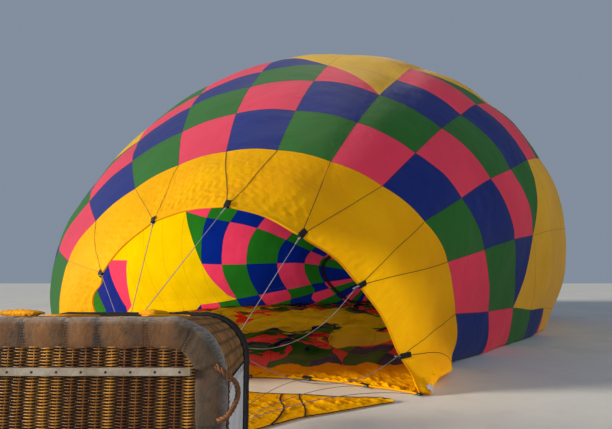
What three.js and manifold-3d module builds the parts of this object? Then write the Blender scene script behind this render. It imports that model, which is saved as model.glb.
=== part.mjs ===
/**
 * Hot air balloon lying on its side on the ground, part-way through cold inflation.
 *
 * The basket lies on one long side, the burner frame rests on the ground beyond its rim,
 * twelve flying wires fan out to the scalloped mouth, and the half-filled envelope runs back
 * along +Y to the crown. Lengths are in millimetres, +Z is up and the ground is z = 0.
 */
import * as THREE from 'three';
import Module from 'manifold-3d';

const wasm = await Module();
wasm.setup();
const { Manifold, Mesh: ManifoldMesh } = wasm;

// Envelope: 24 gores, 15 rows of panels, then the round vent at the crown.
const GORES = 24;
const PANEL_ROWS = 15;
const CROWN_ROW = 17.2;
const FABRIC_THICKNESS = 10;
const MOUTH_X = -640;
const MOUTH_Y = 6490;
const ENVELOPE_TURN = THREE.MathUtils.degToRad(22.4);
const BELLY_DEPTH = 0.85;
const GORE_BULGE = 0.02;
const GROUND_BLEND = 60;
const FOLD_HEIGHT = 170;

/** Cross-sections of the air-filled tube, every length in millimetres. */
const SECTIONS = [
  // row, along, halfWidth, rise, centreZ, sway
  [0, 0, 2400, 1450, 1470, 0],
  [1, 1000, 3200, 2100, 1650, -350],
  [2, 2050, 3950, 2750, 1850, -650],
  [3, 3100, 4650, 3400, 1950, -950],
  [4, 4200, 5300, 4000, 2100, -1200],
  [6, 6550, 6300, 4900, 2250, -1700],
  [8, 9050, 6750, 5150, 2350, -2100],
  [10, 11600, 6550, 4650, 2300, -2350],
  [12, 13900, 5500, 3400, 2200, -2600],
  [14, 15750, 3750, 1850, 1950, -2700],
  [15, 16400, 2650, 1100, 1800, -2700],
];
const COLUMN = { along: 1, halfWidth: 2, rise: 3, centreZ: 4, sway: 5 };

// Seam angles round the section: seams 0 to 13 are in the air, the rest lie on the ground.
const LAST_AIR_SEAM = 13;
const SEAM_START = 176.5;
const SEAM_STEP = 20.4;
const SEAM_ARCH = 4;
const SEAM_SHEAR = -7.5;

// The mouth plane leans: the right side stands back, the top stands forward.
const MOUTH_LEAN_SIDE = 0.44;
const MOUTH_LEAN_TOP = -0.33;
const MOUTH_TWIST = -0.24;
const CURL_AT_MOUTH = -0.6;
const CURL_GROWTH = 1.7;
const CURL_LIMIT = 0.45;

// Crown: a dished round opening closed from inside by the vent panel.
const CROWN_ALONG = 17000;
const CROWN_Z = 1400;
const CROWN_SWAY = -2700;
const CROWN_DISH = 600;
const VENT_OVERLAP = 1.03;
const VENT_LAP = 0.07;
const VENT_INSET = 16.2;
const VENT_THICKNESS = 8;
const VENT_LOWEST = 18;
const CROWN_RING_RADIUS = 200;
const CROWN_RING_TUBE = 16;
const CROWN_TAPE_WIDTH = 26;
const CROWN_TAPE_THICKNESS = 6;

// Mouth rim: one attachment point for every two gores, scalloped in between.
const SCALLOP_DEPTH = 0.16;
const BAND_GAP = 0.0003;
const RIM_LOWEST = 22;
const BAND_STEPS = 2;
const ATTACHMENTS = [
  // x, y, z
  [-2290, 5300, 1380],
  [-1650, 5050, 1950],
  [-760, 4460, 2030],
  [-50, 4390, 1740],
  [550, 4850, 1270],
  [1060, 5430, 470],
  [1300, 5600, 25],
  [750, 6000, 25],
  [50, 6400, 25],
  [-750, 6550, 25],
  [-1500, 6350, 60],
  [-2150, 5900, 480],
];

// Basket, lying on a long side with its floor towards -Y and its open top towards +Y.
const BASKET_X = -1120;
const BASKET_FLOOR_Y = 2100;
const BASKET_RIM_Y = 3170;
const FLOOR_HALF_LENGTH = 768;
const RIM_HALF_LENGTH = 712;
const FLOOR_LOW = 8;
const FLOOR_HIGH = 1178;
const RIM_LOW = 23;
const RIM_HIGH = 1093;
const BASKET_CORNER = 255;
const WALL_THICKNESS = 28;
const FLOOR_THICKNESS = 20;
const HIDE_BORDER = 120;
const HIDE_THICKNESS = 9;
const HIDE_WRAP_Y = 2150;
const RIM_TUBE = 36;
const RUNNER_HEIGHTS = [220, 590, 960];
const RUNNER_WIDTH = 32;
const RUNNER_DEPTH = 30;
const RUNNER_HALF_LENGTH = 626;

// Fuel cylinders stand in the four basket corners.
const CYLINDER_RADIUS = 130;
const CYLINDER_OFFSET_X = 515;
const CYLINDER_OFFSET_Z = 330;
const CYLINDER_MIDDLE_Z = 572;
const CYLINDER_BASE_Y = 2122.4;
const CYLINDER_LENGTH = 740;
const UPRIGHT_RADIUS = 27;
const UPRIGHT_MIDDLE_Z = 558;
const UPRIGHT_OFFSET_X = 627;
const UPRIGHT_OFFSET_Z = 450;

// Load frame and burner, in the frame's own axes: u along its long side, w towards the mouth.
const FRAME_X = -1130;
const FRAME_Y = 3950;
const FRAME_Z = 450;
const FRAME_ROLL = THREE.MathUtils.degToRad(9.9);
const FRAME_HALF_U = 385;
const FRAME_HALF_V = 320;
const FRAME_TUBE = 19;
const FRAME_JOINT = 26;
const GIMBAL_HALF_U = 320;
const GIMBAL_HALF_V = 255;
const GIMBAL_BAR = 28;
const PIN_RADIUS = 9;
const PIN_CLEARANCE = 0.4;
const BOSS_RADIUS = 24;
const CAN_RADIUS = 112;
const CAN_LENGTH = 420;
const CAN_OFFSET = 128;
const COIL_RADIUS = 84;
const COIL_TUBE = 8;
const COIL_TURNS = 4;
const COIL_TAPER = 10;
const LINK_LENGTH = 110;
const LINK_RADIUS = 25;
const LINK_TUBE = 6;
const LINK_SEAT = 4.2;
const WIRE_RADIUS = 4;
const SCOOP_TIE_SEAM = 18.5;
const THIMBLE_RADIUS = 17;
const THIMBLE_TUBE = 5;
const SEAT_GAP = 0.35;
const SEAT_SEARCH = 12;

/** Look of one material, shared by the nodes that use it. */
const MATERIALS = {
  fabricYellow: { color: 0xd9a000, roughness: 0.55, metalness: 0 },
  fabricPink: { color: 0xc8234f, roughness: 0.55, metalness: 0 },
  tape: { color: 0x6b5320, roughness: 0.7, metalness: 0 },
  wire: { color: 0xb9bcc0, roughness: 0.35, metalness: 0.7 },
  steel: { color: 0x9a9da1, roughness: 0.3, metalness: 0.9 },
  brass: { color: 0xa98644, roughness: 0.35, metalness: 0.9 },
  wicker: { color: 0x9c6b34, roughness: 0.8, metalness: 0 },
  hide: { color: 0x6a4127, roughness: 0.75, metalness: 0 },
  timber: { color: 0x9a9188, roughness: 0.8, metalness: 0 },
  padding: { color: 0x17171a, roughness: 0.8, metalness: 0 },
  panel: { color: 0xdcd9d0, roughness: 0.6, metalness: 0 },
  rope: { color: 0x6b4526, roughness: 0.85, metalness: 0 },
  sleeve: { color: 0x5a3a26, roughness: 0.8, metalness: 0 },
};

const site = new THREE.Group();
site.name = 'hot_air_balloon';

/** Adds one named solid with its material to a group. */
function addPiece(parent, name, geometry, look) {
  const mesh = new THREE.Mesh(
    orientOutward(welded(geometry)),
    new THREE.MeshStandardMaterial(MATERIALS[look]),
  );
  mesh.name = name;
  parent.add(mesh);
  return mesh;
}

/** Turns every face round when the closed surface encloses a negative volume. */
function orientOutward(geometry) {
  const index = Array.from(geometry.index.array);
  const position = geometry.attributes.position;
  const corner = (i) => new THREE.Vector3().fromBufferAttribute(position, index[i]);
  let volume = 0;
  for (let i = 0; i < index.length; i += 3) {
    volume += corner(i).dot(corner(i + 1).cross(corner(i + 2)));
  }
  if (volume < 0) {
    for (let i = 0; i < index.length; i += 3) {
      [index[i + 1], index[i + 2]] = [index[i + 2], index[i + 1]];
    }
    geometry.setIndex(index);
  }
  return geometry;
}

/** Closed solid from a list of corners and a list of triangles. */
function solidFrom(points, triangles) {
  const geometry = new THREE.BufferGeometry();
  geometry.setAttribute('position', new THREE.Float32BufferAttribute(points.flatMap((p) => p.toArray()), 3));
  geometry.setIndex(triangles.flat());
  return geometry;
}

/** Closed ring-shaped shell between an outer and an inner grid of points. */
function shellSolid(outer, inner) {
  const rows = outer.length;
  const columns = outer[0].length;
  const points = [...outer.flat(), ...inner.flat()];
  const id = (side, i, j) => side * rows * columns + i * columns + (j % columns);
  const triangles = [];
  const quad = (a, b, c, d) => triangles.push([a, b, c], [a, c, d]);
  for (let j = 0; j < columns; j += 1) {
    for (let i = 0; i < rows - 1; i += 1) {
      quad(id(0, i, j), id(0, i + 1, j), id(0, i + 1, j + 1), id(0, i, j + 1));
      quad(id(1, i, j), id(1, i, j + 1), id(1, i + 1, j + 1), id(1, i + 1, j));
    }
    quad(id(0, 0, j), id(0, 0, j + 1), id(1, 0, j + 1), id(1, 0, j));
    quad(id(0, rows - 1, j), id(1, rows - 1, j), id(1, rows - 1, j + 1), id(0, rows - 1, j + 1));
  }
  return solidFrom(points, triangles);
}

/** Unit normals of a ring-shaped grid, from its neighbouring points. */
function gridNormals(grid) {
  const rows = grid.length;
  const columns = grid[0].length;
  return grid.map((line, i) => line.map((_, j) => {
    const alongRow = grid[Math.min(i + 1, rows - 1)][j].clone().sub(grid[Math.max(i - 1, 0)][j]);
    const aroundRow = line[(j + 1) % columns].clone().sub(line[(j + columns - 1) % columns]);
    return aroundRow.cross(alongRow).normalize();
  }));
}

/** Solid swept round a closed contour from a profile of [inset, y] corners. */
function sweepRound(contour, profile, steps) {
  const points = [];
  const triangles = [];
  const count = profile.length;
  for (let j = 0; j < steps; j += 1) {
    profile.forEach(([inset, y]) => points.push(contour(inset, y, j / steps)));
  }
  for (let j = 0; j < steps; j += 1) {
    const next = (j + 1) % steps;
    for (let i = 0; i < count; i += 1) {
      const [a, b] = [j * count + i, j * count + ((i + 1) % count)];
      const [c, d] = [next * count + ((i + 1) % count), next * count + i];
      triangles.push([a, b, c], [a, c, d]);
    }
  }
  return solidFrom(points, triangles);
}

/** Merges equal corners so that neighbouring faces share them. */
function welded(geometry) {
  const flat = geometry.index ? geometry.toNonIndexed() : geometry;
  const source = flat.attributes.position;
  const seen = new Map();
  const points = [];
  const index = [];
  for (let i = 0; i < source.count; i += 1) {
    const point = new THREE.Vector3().fromBufferAttribute(source, i);
    const key = point.toArray().map((value) => Math.round(value * 1000)).join();
    if (!seen.has(key)) {
      seen.set(key, points.length);
      points.push(point);
    }
    index.push(seen.get(key));
  }
  const triangles = [];
  for (let i = 0; i < index.length; i += 3) {
    const [a, b, c] = index.slice(i, i + 3);
    if (a !== b && b !== c && a !== c) {
      triangles.push([a, b, c]);
    }
  }
  return solidFrom(points, triangles);
}

/** Manifold solid of a three.js geometry. */
function toManifold(geometry) {
  const closed = orientOutward(welded(geometry));
  return new Manifold(new ManifoldMesh({
    numProp: 3,
    vertProperties: new Float32Array(closed.attributes.position.array),
    triVerts: new Uint32Array(closed.index.array),
  }));
}

/** three.js geometry of a manifold solid. */
function fromManifold(solid) {
  const mesh = solid.getMesh();
  const geometry = new THREE.BufferGeometry();
  geometry.setAttribute('position', new THREE.Float32BufferAttribute(mesh.vertProperties, 3));
  geometry.setIndex(Array.from(mesh.triVerts));
  return geometry;
}

/** One solid from several overlapping ones. */
function union(...geometries) {
  return fromManifold(Manifold.union(geometries.map(toManifold)));
}

/** First solid with the others cut away. */
function cut(base, ...tools) {
  return fromManifold(tools.map(toManifold).reduce((solid, tool) => solid.subtract(tool), toManifold(base)));
}

/** Round bar along a path. */
function tubeAlong(path, radius, segments, sides = 8) {
  const section = new THREE.Shape();
  for (let i = 0; i < sides; i += 1) {
    const angle = (2 * Math.PI * i) / sides;
    const point = [radius * Math.cos(angle), radius * Math.sin(angle)];
    if (i === 0) {
      section.moveTo(...point);
    } else {
      section.lineTo(...point);
    }
  }
  section.closePath();
  return new THREE.ExtrudeGeometry(section, { steps: segments, bevelEnabled: false, extrudePath: path });
}

/** Straight round bar between two points. */
function bar(from, to, radius, sides = 10) {
  const length = from.distanceTo(to);
  const geometry = new THREE.CylinderGeometry(radius, radius, length, sides);
  const turn = new THREE.Quaternion().setFromUnitVectors(
    new THREE.Vector3(0, 1, 0),
    to.clone().sub(from).normalize(),
  );
  geometry.applyQuaternion(turn);
  const middle = from.clone().add(to).multiplyScalar(0.5);
  return geometry.translate(middle.x, middle.y, middle.z);
}

/** Box from its size and centre. */
function block(size, centre) {
  return new THREE.BoxGeometry(...size).translate(...centre);
}

/** Value of one section column at a row, on a smooth curve through the table. */
function sectionValue(name, row) {
  const column = COLUMN[name];
  const last = SECTIONS.length - 1;
  let i = 0;
  while (i < last - 1 && row > SECTIONS[i + 1][0]) {
    i += 1;
  }
  const slope = (n) => {
    const [low, high] = [Math.max(n - 1, 0), Math.min(n + 1, last)];
    return (SECTIONS[high][column] - SECTIONS[low][column]) / (SECTIONS[high][0] - SECTIONS[low][0]);
  };
  const [start, end] = [SECTIONS[i], SECTIONS[i + 1]];
  const step = end[0] - start[0];
  const s = (row - start[0]) / step;
  return (2 * s ** 3 - 3 * s ** 2 + 1) * start[column]
    + (s ** 3 - 2 * s ** 2 + s) * step * slope(i)
    + (3 * s ** 2 - 2 * s ** 3) * end[column]
    + (s ** 3 - s ** 2) * step * slope(i + 1);
}

/** Angle round the section, in radians, of a seam number between 0 and 24. */
function seamAngle(seam) {
  const inAir = (k) => SEAM_START - SEAM_STEP * (k - 1)
    + SEAM_ARCH * Math.sin((Math.PI * (k - 1)) / 12)
    + SEAM_SHEAR * Math.sin((2 * Math.PI * (k - 1)) / 12);
  if (seam <= LAST_AIR_SEAM) {
    return THREE.MathUtils.degToRad(inAir(seam));
  }
  const start = inAir(LAST_AIR_SEAM);
  const end = inAir(0) - 360;
  const share = (seam - LAST_AIR_SEAM) / (GORES - LAST_AIR_SEAM);
  return THREE.MathUtils.degToRad(start + (end - start) * share);
}

/** Point in the envelope's own axes turned and moved to its place on the ground. */
function placeAlong(along, sideways, z) {
  return new THREE.Vector3(
    MOUTH_X + along * Math.sin(ENVELOPE_TURN) + sideways * Math.cos(ENVELOPE_TURN),
    MOUTH_Y + along * Math.cos(ENVELOPE_TURN) - sideways * Math.sin(ENVELOPE_TURN),
    z,
  );
}

/** Point of the envelope's outside at a row and a seam number. */
function envelopePoint(row, seam) {
  const angle = seamAngle(seam);
  const [c, s] = [Math.cos(angle), Math.sin(angle)];
  const swell = 1 + GORE_BULGE * Math.abs(Math.sin(Math.PI * seam));
  const share = row / CROWN_ROW;
  const width = sectionValue('halfWidth', row) * swell;
  const rise = sectionValue('rise', row) * swell;
  const curl = Math.min(CURL_AT_MOUTH + CURL_GROWTH * share, CURL_LIMIT);
  const sideways = sectionValue('sway', row) + width * c * (s < 0 ? 1 - curl * s * s : 1);
  const lean = width * (1 - share) ** 2
    * (MOUTH_LEAN_SIDE * c + MOUTH_LEAN_TOP * s + MOUTH_TWIST * Math.sin(2 * angle));
  const free = sectionValue('centreZ', row) + (s > 0 ? rise * s : BELLY_DEPTH * width * s);
  const sunk = THREE.MathUtils.clamp(-free / 400, 0, 1);
  const fade = 1 - THREE.MathUtils.smoothstep(row, 10, 13.5);
  const fold = FOLD_HEIGHT * sunk * fade * Math.sin(Math.PI * seam) ** 2;
  const z = (free + Math.hypot(free, GROUND_BLEND)) / 2 + fold;
  return placeAlong(sectionValue('along', row) + lean, sideways, z);
}

/** Point of the dished crown, share 1 at its edge and 0 at its centre. */
function crownPoint(share, seam) {
  const edge = envelopePoint(PANEL_ROWS, seam);
  const flat = placeAlong(CROWN_ALONG - CROWN_DISH, CROWN_SWAY, CROWN_Z);
  const point = flat.clone().lerp(edge, share);
  const axis = envelopeAxis();
  return point.addScaledVector(axis, CROWN_DISH * (1 - share * share));
}

/** Unit vector along the envelope towards the crown. */
function envelopeAxis() {
  return new THREE.Vector3(Math.sin(ENVELOPE_TURN), Math.cos(ENVELOPE_TURN), 0);
}

/** Point of the mouth rim at a seam number, scalloped between the attachments. */
function rimPoint(seam) {
  const points = ATTACHMENTS.map((values) => new THREE.Vector3(...values));
  const place = (((seam - 1.5) / 2) % 12 + 12) % 12;
  const i = Math.floor(place);
  const s = place - i;
  const [before, start, end, after] = [i + 11, i, i + 1, i + 2].map((n) => points[n % 12]);
  const curve = new THREE.CatmullRomCurve3([before, start, end, after], false, 'catmullrom', 0.5);
  const rim = curve.getPoint((1 + s) / 3);
  const edge = envelopePoint(0, seam);
  rim.lerp(edge, SCALLOP_DEPTH * Math.sin(Math.PI * s) ** 2);
  rim.z = Math.max(rim.z, RIM_LOWEST);
  return rim;
}

/** Envelope from the band's outer edge to the crown opening. */
function envelopeSolid() {
  return insetShell(envelopeGrid(), FABRIC_THICKNESS, 0);
}

/** Outside points of the envelope: one line for every row of panels, two columns to a gore. */
function envelopeGrid() {
  return Array.from({ length: PANEL_ROWS + 1 }, (_, row) => (
    Array.from({ length: GORES * 2 }, (_, j) => envelopePoint(row, j / 2))
  ));
}

/** Unit normals shared by the two shells that meet at the band's outer edge. */
function seamRingNormals() {
  return Array.from({ length: GORES * 2 }, (_, j) => {
    const seam = j / 2;
    const around = envelopePoint(0, (seam + 0.5) % GORES).sub(envelopePoint(0, (seam + GORES - 0.5) % GORES));
    return around.cross(envelopePoint(1, seam).sub(rimPoint(seam))).normalize();
  });
}

/** Shell of even thickness inside a grid, one of whose rings is shared with the next shell. */
function insetShell(outer, thickness, sharedRing) {
  const inward = insetDirections(outer, sharedRing);
  const inner = outer.map((line, i) => line.map((p, j) => {
    const moved = p.clone().addScaledVector(inward[i][j], thickness);
    moved.z = Math.max(moved.z, p.z < thickness ? p.z + thickness * 0.9 : 0);
    return moved;
  }));
  return shellSolid(outer, inner);
}

/** Unit vectors that point into the air from every point of a shell's outside. */
function insetDirections(outer, sharedRing) {
  const normals = gridNormals(outer);
  normals[sharedRing] = seamRingNormals();
  const centre = outer.flat().reduce((sum, p) => sum.add(p), new THREE.Vector3())
    .divideScalar(outer.length * outer[0].length);
  const side = outer[1][0].clone().sub(centre).dot(normals[1][0]) > 0 ? -1 : 1;
  return normals.map((line) => line.map((normal) => normal.multiplyScalar(side)));
}

/** Yellow band between the envelope and the scalloped mouth rim. */
function mouthBandSolid() {
  return insetShell(mouthBandGrid(), FABRIC_THICKNESS, BAND_STEPS);
}

/** Outside points of the mouth band, from the rim to just short of the envelope. */
function mouthBandGrid() {
  return Array.from({ length: BAND_STEPS + 1 }, (_, i) => (
    Array.from({ length: GORES * 2 }, (_, j) => (
      rimPoint(j / 2).lerp(envelopePoint(0, j / 2), (i / BAND_STEPS) * (1 - BAND_GAP))
    ))
  ));
}

/** Vent panel: a dished round sheet that closes the crown opening from inside. */
function ventSolid() {
  const axis = envelopeAxis();
  const shares = [0.25, 0.5, 0.75, 1, VENT_OVERLAP];
  const grid = envelopeGrid();
  const inward = insetDirections(grid, 0);
  const last = grid.length - 1;
  const point = (share, seam, depth) => {
    const p = crownPoint(Math.min(share, 1), seam);
    if (share < 1) {
      p.addScaledVector(axis, -VENT_INSET - depth);
    } else {
      const edge = share > 1 ? 1 - VENT_LAP : 1;
      p.copy(grid[last - 1][2 * seam]).lerp(grid[last][2 * seam], edge);
      p.addScaledVector(inward[last][2 * seam], VENT_INSET + depth);
    }
    p.z = Math.max(p.z, VENT_LOWEST + (depth > 0 ? 6 : 0));
    return p;
  };
  const points = [point(0, 0, 0), point(0, 0, VENT_THICKNESS)];
  const id = (side, i, j) => 2 + side * shares.length * GORES + i * GORES + (j % GORES);
  [0, VENT_THICKNESS].forEach((depth) => shares.forEach((share) => {
    for (let j = 0; j < GORES; j += 1) {
      points.push(point(share, j, depth));
    }
  }));
  const triangles = [];
  for (let j = 0; j < GORES; j += 1) {
    triangles.push([0, id(0, 0, j), id(0, 0, j + 1)], [1, id(1, 0, j + 1), id(1, 0, j)]);
    for (let i = 0; i < shares.length - 1; i += 1) {
      triangles.push([id(0, i, j), id(0, i + 1, j), id(0, i + 1, j + 1)]);
      triangles.push([id(0, i, j), id(0, i + 1, j + 1), id(0, i, j + 1)]);
      triangles.push([id(1, i, j), id(1, i + 1, j + 1), id(1, i + 1, j)]);
      triangles.push([id(1, i, j), id(1, i, j + 1), id(1, i + 1, j + 1)]);
    }
    const rim = shares.length - 1;
    triangles.push([id(0, rim, j), id(1, rim, j), id(1, rim, j + 1)]);
    triangles.push([id(0, rim, j), id(1, rim, j + 1), id(0, rim, j + 1)]);
  }
  return solidFrom(points, triangles);
}

/** Crown ring with the load tapes that cross the vent opening to it. */
function crownTapesSolid() {
  const axis = envelopeAxis();
  const centre = crownPoint(0, 0).addScaledVector(axis, 30);
  const across = new THREE.Vector3(axis.y, -axis.x, 0);
  const up = new THREE.Vector3(0, 0, 1);
  const ringPoint = (angle, radius) => centre.clone()
    .addScaledVector(across, radius * Math.cos(angle))
    .addScaledVector(up, radius * Math.sin(angle));
  const ring = new THREE.TorusGeometry(CROWN_RING_RADIUS, CROWN_RING_TUBE, 6, 30);
  const basis = new THREE.Matrix4().makeBasis(across, up, across.clone().cross(up));
  ring.applyMatrix4(basis.setPosition(centre));
  const tapes = Array.from({ length: GORES / 2 }, (_, n) => {
    const seam = 2 * n;
    const edge = seam > LAST_AIR_SEAM ? 0.985 : 1;
    const line = [edge, 0.82, 0.62, 0.4, 0.2].map(
      (share) => crownPoint(share, seam).addScaledVector(axis, CROWN_TAPE_THICKNESS / 2 + 0.6),
    );
    const inner = line[line.length - 1].clone().sub(centre);
    line.push(ringPoint(Math.atan2(inner.z, inner.dot(across)), CROWN_RING_RADIUS));
    return tapeSolid(line, axis);
  });
  return union(ring, ...tapes);
}

/** Flat tape along a line of points, its flat side facing along the axis. */
function tapeSolid(line, axis) {
  const last = line.length - 1;
  const points = line.flatMap((p, i) => {
    const run = line[Math.min(i + 1, last)].clone().sub(line[Math.max(i - 1, 0)]);
    const side = run.clone().cross(axis).normalize().multiplyScalar(CROWN_TAPE_WIDTH / 2);
    const lift = run.cross(side).normalize().multiplyScalar(CROWN_TAPE_THICKNESS / 2);
    return [[1, 1], [-1, 1], [-1, -1], [1, -1]].map(
      ([a, b]) => p.clone().addScaledVector(side, a).addScaledVector(lift, b),
    );
  });
  const end = 4 * last;
  const faces = [[0, 1, 2], [0, 2, 3], [end, end + 2, end + 1], [end, end + 3, end + 2]];
  for (let n = 0; n < last; n += 1) {
    for (let i = 0; i < 4; i += 1) {
      const [a, b] = [4 * n + i, 4 * n + ((i + 1) % 4)];
      faces.push([a, a + 4, b + 4], [a, b + 4, b]);
    }
  }
  return solidFrom(points, faces);
}

/** Loose fabric flap on the ground between the basket and the mouth. */
function scoopSolid() {
  const stations = [
    // x, nearY, farY, crest
    [-1650, 4500, 5650, 25],
    [-1050, 4350, 5600, 70],
    [-500, 4320, 5580, 45],
    [-60, 4720, 5560, 80],
    [360, 4950, 5500, 40],
    [820, 5230, 5380, 30],
    [950, 5290, 5330, 16],
  ];
  const across = [0, 0.25, 0.5, 0.75, 1];
  const outline = (lift) => stations.map(([x, nearY, farY, crest], n) => across.map((share, m) => (
    new THREE.Vector3(
      x,
      nearY + (farY - nearY) * share,
      lift + crest * share * ((n + m) % 2 === 0 ? 1 : 0.35),
    ))));
  const [under, top] = [outline(0), outline(FABRIC_THICKNESS)];
  const rows = stations.length;
  const columns = across.length;
  const points = [...under.flat(), ...top.flat()];
  const id = (side, i, j) => side * rows * columns + i * columns + j;
  const triangles = [];
  const quad = (a, b, c, d) => triangles.push([a, b, c], [a, c, d]);
  for (let i = 0; i < rows - 1; i += 1) {
    for (let j = 0; j < columns - 1; j += 1) {
      quad(id(0, i, j), id(0, i, j + 1), id(0, i + 1, j + 1), id(0, i + 1, j));
      quad(id(1, i, j), id(1, i + 1, j), id(1, i + 1, j + 1), id(1, i, j + 1));
    }
    quad(id(0, i, 0), id(0, i + 1, 0), id(1, i + 1, 0), id(1, i, 0));
    quad(id(0, i + 1, columns - 1), id(0, i, columns - 1), id(1, i, columns - 1), id(1, i + 1, columns - 1));
  }
  for (let j = 0; j < columns - 1; j += 1) {
    quad(id(0, 0, j + 1), id(0, 0, j), id(1, 0, j), id(1, 0, j + 1));
    quad(id(0, rows - 1, j), id(0, rows - 1, j + 1), id(1, rows - 1, j + 1), id(1, rows - 1, j));
  }
  const middle = (m) => under[2][m].clone().add(top[2][m]).multiplyScalar(0.5);
  const rim = rimPoint(SCOOP_TIE_SEAM);
  const tie = tapeSolid([
    middle(3), middle(4), new THREE.Vector3(-560, 5800, 12), new THREE.Vector3(-520, 6250, 12),
    new THREE.Vector3(rim.x, rim.y - 13.6, rim.z + 4),
  ], new THREE.Vector3(0, 0, 1));
  return union(solidFrom(points, triangles), tie);
}

/** Point of the basket's rounded outline, share 0 to 1 round it, moved in by the inset. */
function basketContour(inset, y, share) {
  const depth = (y - BASKET_FLOOR_Y) / (BASKET_RIM_Y - BASKET_FLOOR_Y);
  const halfLength = FLOOR_HALF_LENGTH + (RIM_HALF_LENGTH - FLOOR_HALF_LENGTH) * depth - inset;
  const low = FLOOR_LOW + (RIM_LOW - FLOOR_LOW) * depth;
  const high = FLOOR_HIGH + (RIM_HIGH - FLOOR_HIGH) * depth;
  const halfHeight = (high - low) / 2 - inset;
  const corner = BASKET_CORNER - inset;
  const quarter = Math.floor(share * 4) % 4;
  const turn = ((share * 4) % 1) * (Math.PI / 2) + (quarter * Math.PI) / 2;
  const signX = [1, -1, -1, 1][quarter];
  const signZ = [1, 1, -1, -1][quarter];
  return new THREE.Vector3(
    BASKET_X + signX * (halfLength - corner) + corner * Math.cos(turn),
    y,
    (low + high) / 2 + signZ * (halfHeight - corner) + corner * Math.sin(turn),
  );
}

/** Contour sampler with both ends of every rounded corner, so the sides stay straight. */
function cornerSampler(perCorner) {
  const steps = 4 * (perCorner + 1);
  const contour = (inset, y, share) => {
    const n = Math.round(share * steps);
    const quarter = Math.floor(n / (perCorner + 1)) % 4;
    const within = Math.min((n % (perCorner + 1)) / perCorner, 1 - 1e-9);
    return basketContour(inset, y, (quarter + within) / 4);
  };
  return { contour, steps };
}

/** Ring swept round the basket outline from its profile of [inset, y] corners. */
function basketRing(profile, perCorner = 6) {
  const { contour, steps } = cornerSampler(perCorner);
  return sweepRound(contour, profile, steps);
}

/** Adds the basket's wicker, hide, timber, padding and handles. */
function addBasket() {
  const front = BASKET_FLOOR_Y;
  addPiece(site, 'basket_walls', basketRing([
    [0, front], [0, BASKET_RIM_Y], [WALL_THICKNESS, BASKET_RIM_Y], [WALL_THICKNESS, front],
  ]), 'wicker');
  const plate = basketPlate(WALL_THICKNESS + 0.4, front + 2, front + 2 + FLOOR_THICKNESS);
  addPiece(site, 'basket_floor', plate, 'wicker');
  const hideFront = front - 0.4 - HIDE_THICKNESS;
  addPiece(site, 'hide_border', basketRing([
    [-7, HIDE_WRAP_Y], [-7, hideFront], [HIDE_BORDER, hideFront],
    [HIDE_BORDER, front - 0.4], [-0.4, front - 0.4], [-0.4, HIDE_WRAP_Y],
  ]), 'hide');
  const rimProfile = Array.from({ length: 12 }, (_, i) => {
    const angle = (2 * Math.PI * i) / 12;
    return [
      WALL_THICKNESS / 2 + RIM_TUBE * Math.cos(angle),
      BASKET_RIM_Y + 0.4 + RIM_TUBE + RIM_TUBE * Math.sin(angle),
    ];
  });
  addPiece(site, 'rim_padding', basketRing(rimProfile), 'padding');
  RUNNER_HEIGHTS.forEach((height, n) => {
    const runner = block(
      [2 * RUNNER_HALF_LENGTH, RUNNER_DEPTH, RUNNER_WIDTH],
      [BASKET_X, front + 1.7 - RUNNER_DEPTH / 2, height],
    );
    addPiece(site, `floor_runner_${n + 1}`, runner, 'timber');
  });
  addPiece(site, 'side_panel', sidePanelSolid(), 'panel');
  const middle = (FLOOR_LOW + FLOOR_HIGH) / 2;
  [['right_upper', 1, 1], ['right_lower', 1, -1], ['left_upper', -1, 1], ['left_lower', -1, -1]].forEach(
    ([name, signX, signZ]) => {
      const place = (out, y, up) => new THREE.Vector3(
        BASKET_X + signX * (FLOOR_HALF_LENGTH + out), y, middle + signZ * up,
      );
      const path = new THREE.CatmullRomCurve3([
        place(-45, hideFront - 9.3, 390), place(6, hideFront - 20, 362), place(62, front + 10, 310),
        place(66, front + 20, 250), place(20, hideFront - 18, 190), place(-30, hideFront - 9.3, 165),
      ]);
      addPiece(site, `rope_handle_${name}`, tubeAlong(path, 9, 14, 8), 'rope');
    },
  );
}

/** Flat plate that fills the basket outline at one inset. */
function basketPlate(inset, yStart, yEnd) {
  const { contour, steps } = cornerSampler(6);
  const ring = (y) => Array.from({ length: steps }, (_, j) => {
    return contour(inset, y, j / steps);
  });
  const centre = (y) => new THREE.Vector3(BASKET_X, y, (FLOOR_LOW + FLOOR_HIGH) / 2);
  const points = [...ring(yStart), ...ring(yEnd), centre(yStart), centre(yEnd)];
  const triangles = [];
  for (let j = 0; j < steps; j += 1) {
    const next = (j + 1) % steps;
    triangles.push([2 * steps, next, j], [2 * steps + 1, steps + j, steps + next]);
    triangles.push([j, next, steps + next], [j, steps + next, steps + j]);
  }
  return solidFrom(points, triangles);
}

/** Blank pale panel laced to the basket's right side. */
function sidePanelSolid() {
  const slope = (RIM_HALF_LENGTH - FLOOR_HALF_LENGTH) / (BASKET_RIM_Y - BASKET_FLOOR_Y);
  const wall = (y) => BASKET_X + FLOOR_HALF_LENGTH + slope * (y - BASKET_FLOOR_Y);
  const outline = [[2165, 260], [3080, 300], [3080, 830], [2165, 905]];
  const points = [0.4, 8].flatMap((gap) => outline.map(([y, z]) => new THREE.Vector3(wall(y) + gap, y, z)));
  const faces = [[0, 1, 2], [0, 2, 3], [4, 6, 5], [4, 7, 6]];
  for (let i = 0; i < 4; i += 1) {
    const j = (i + 1) % 4;
    faces.push([i, 4 + i, 4 + j], [i, 4 + j, j]);
  }
  return solidFrom(points, faces);
}

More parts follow.
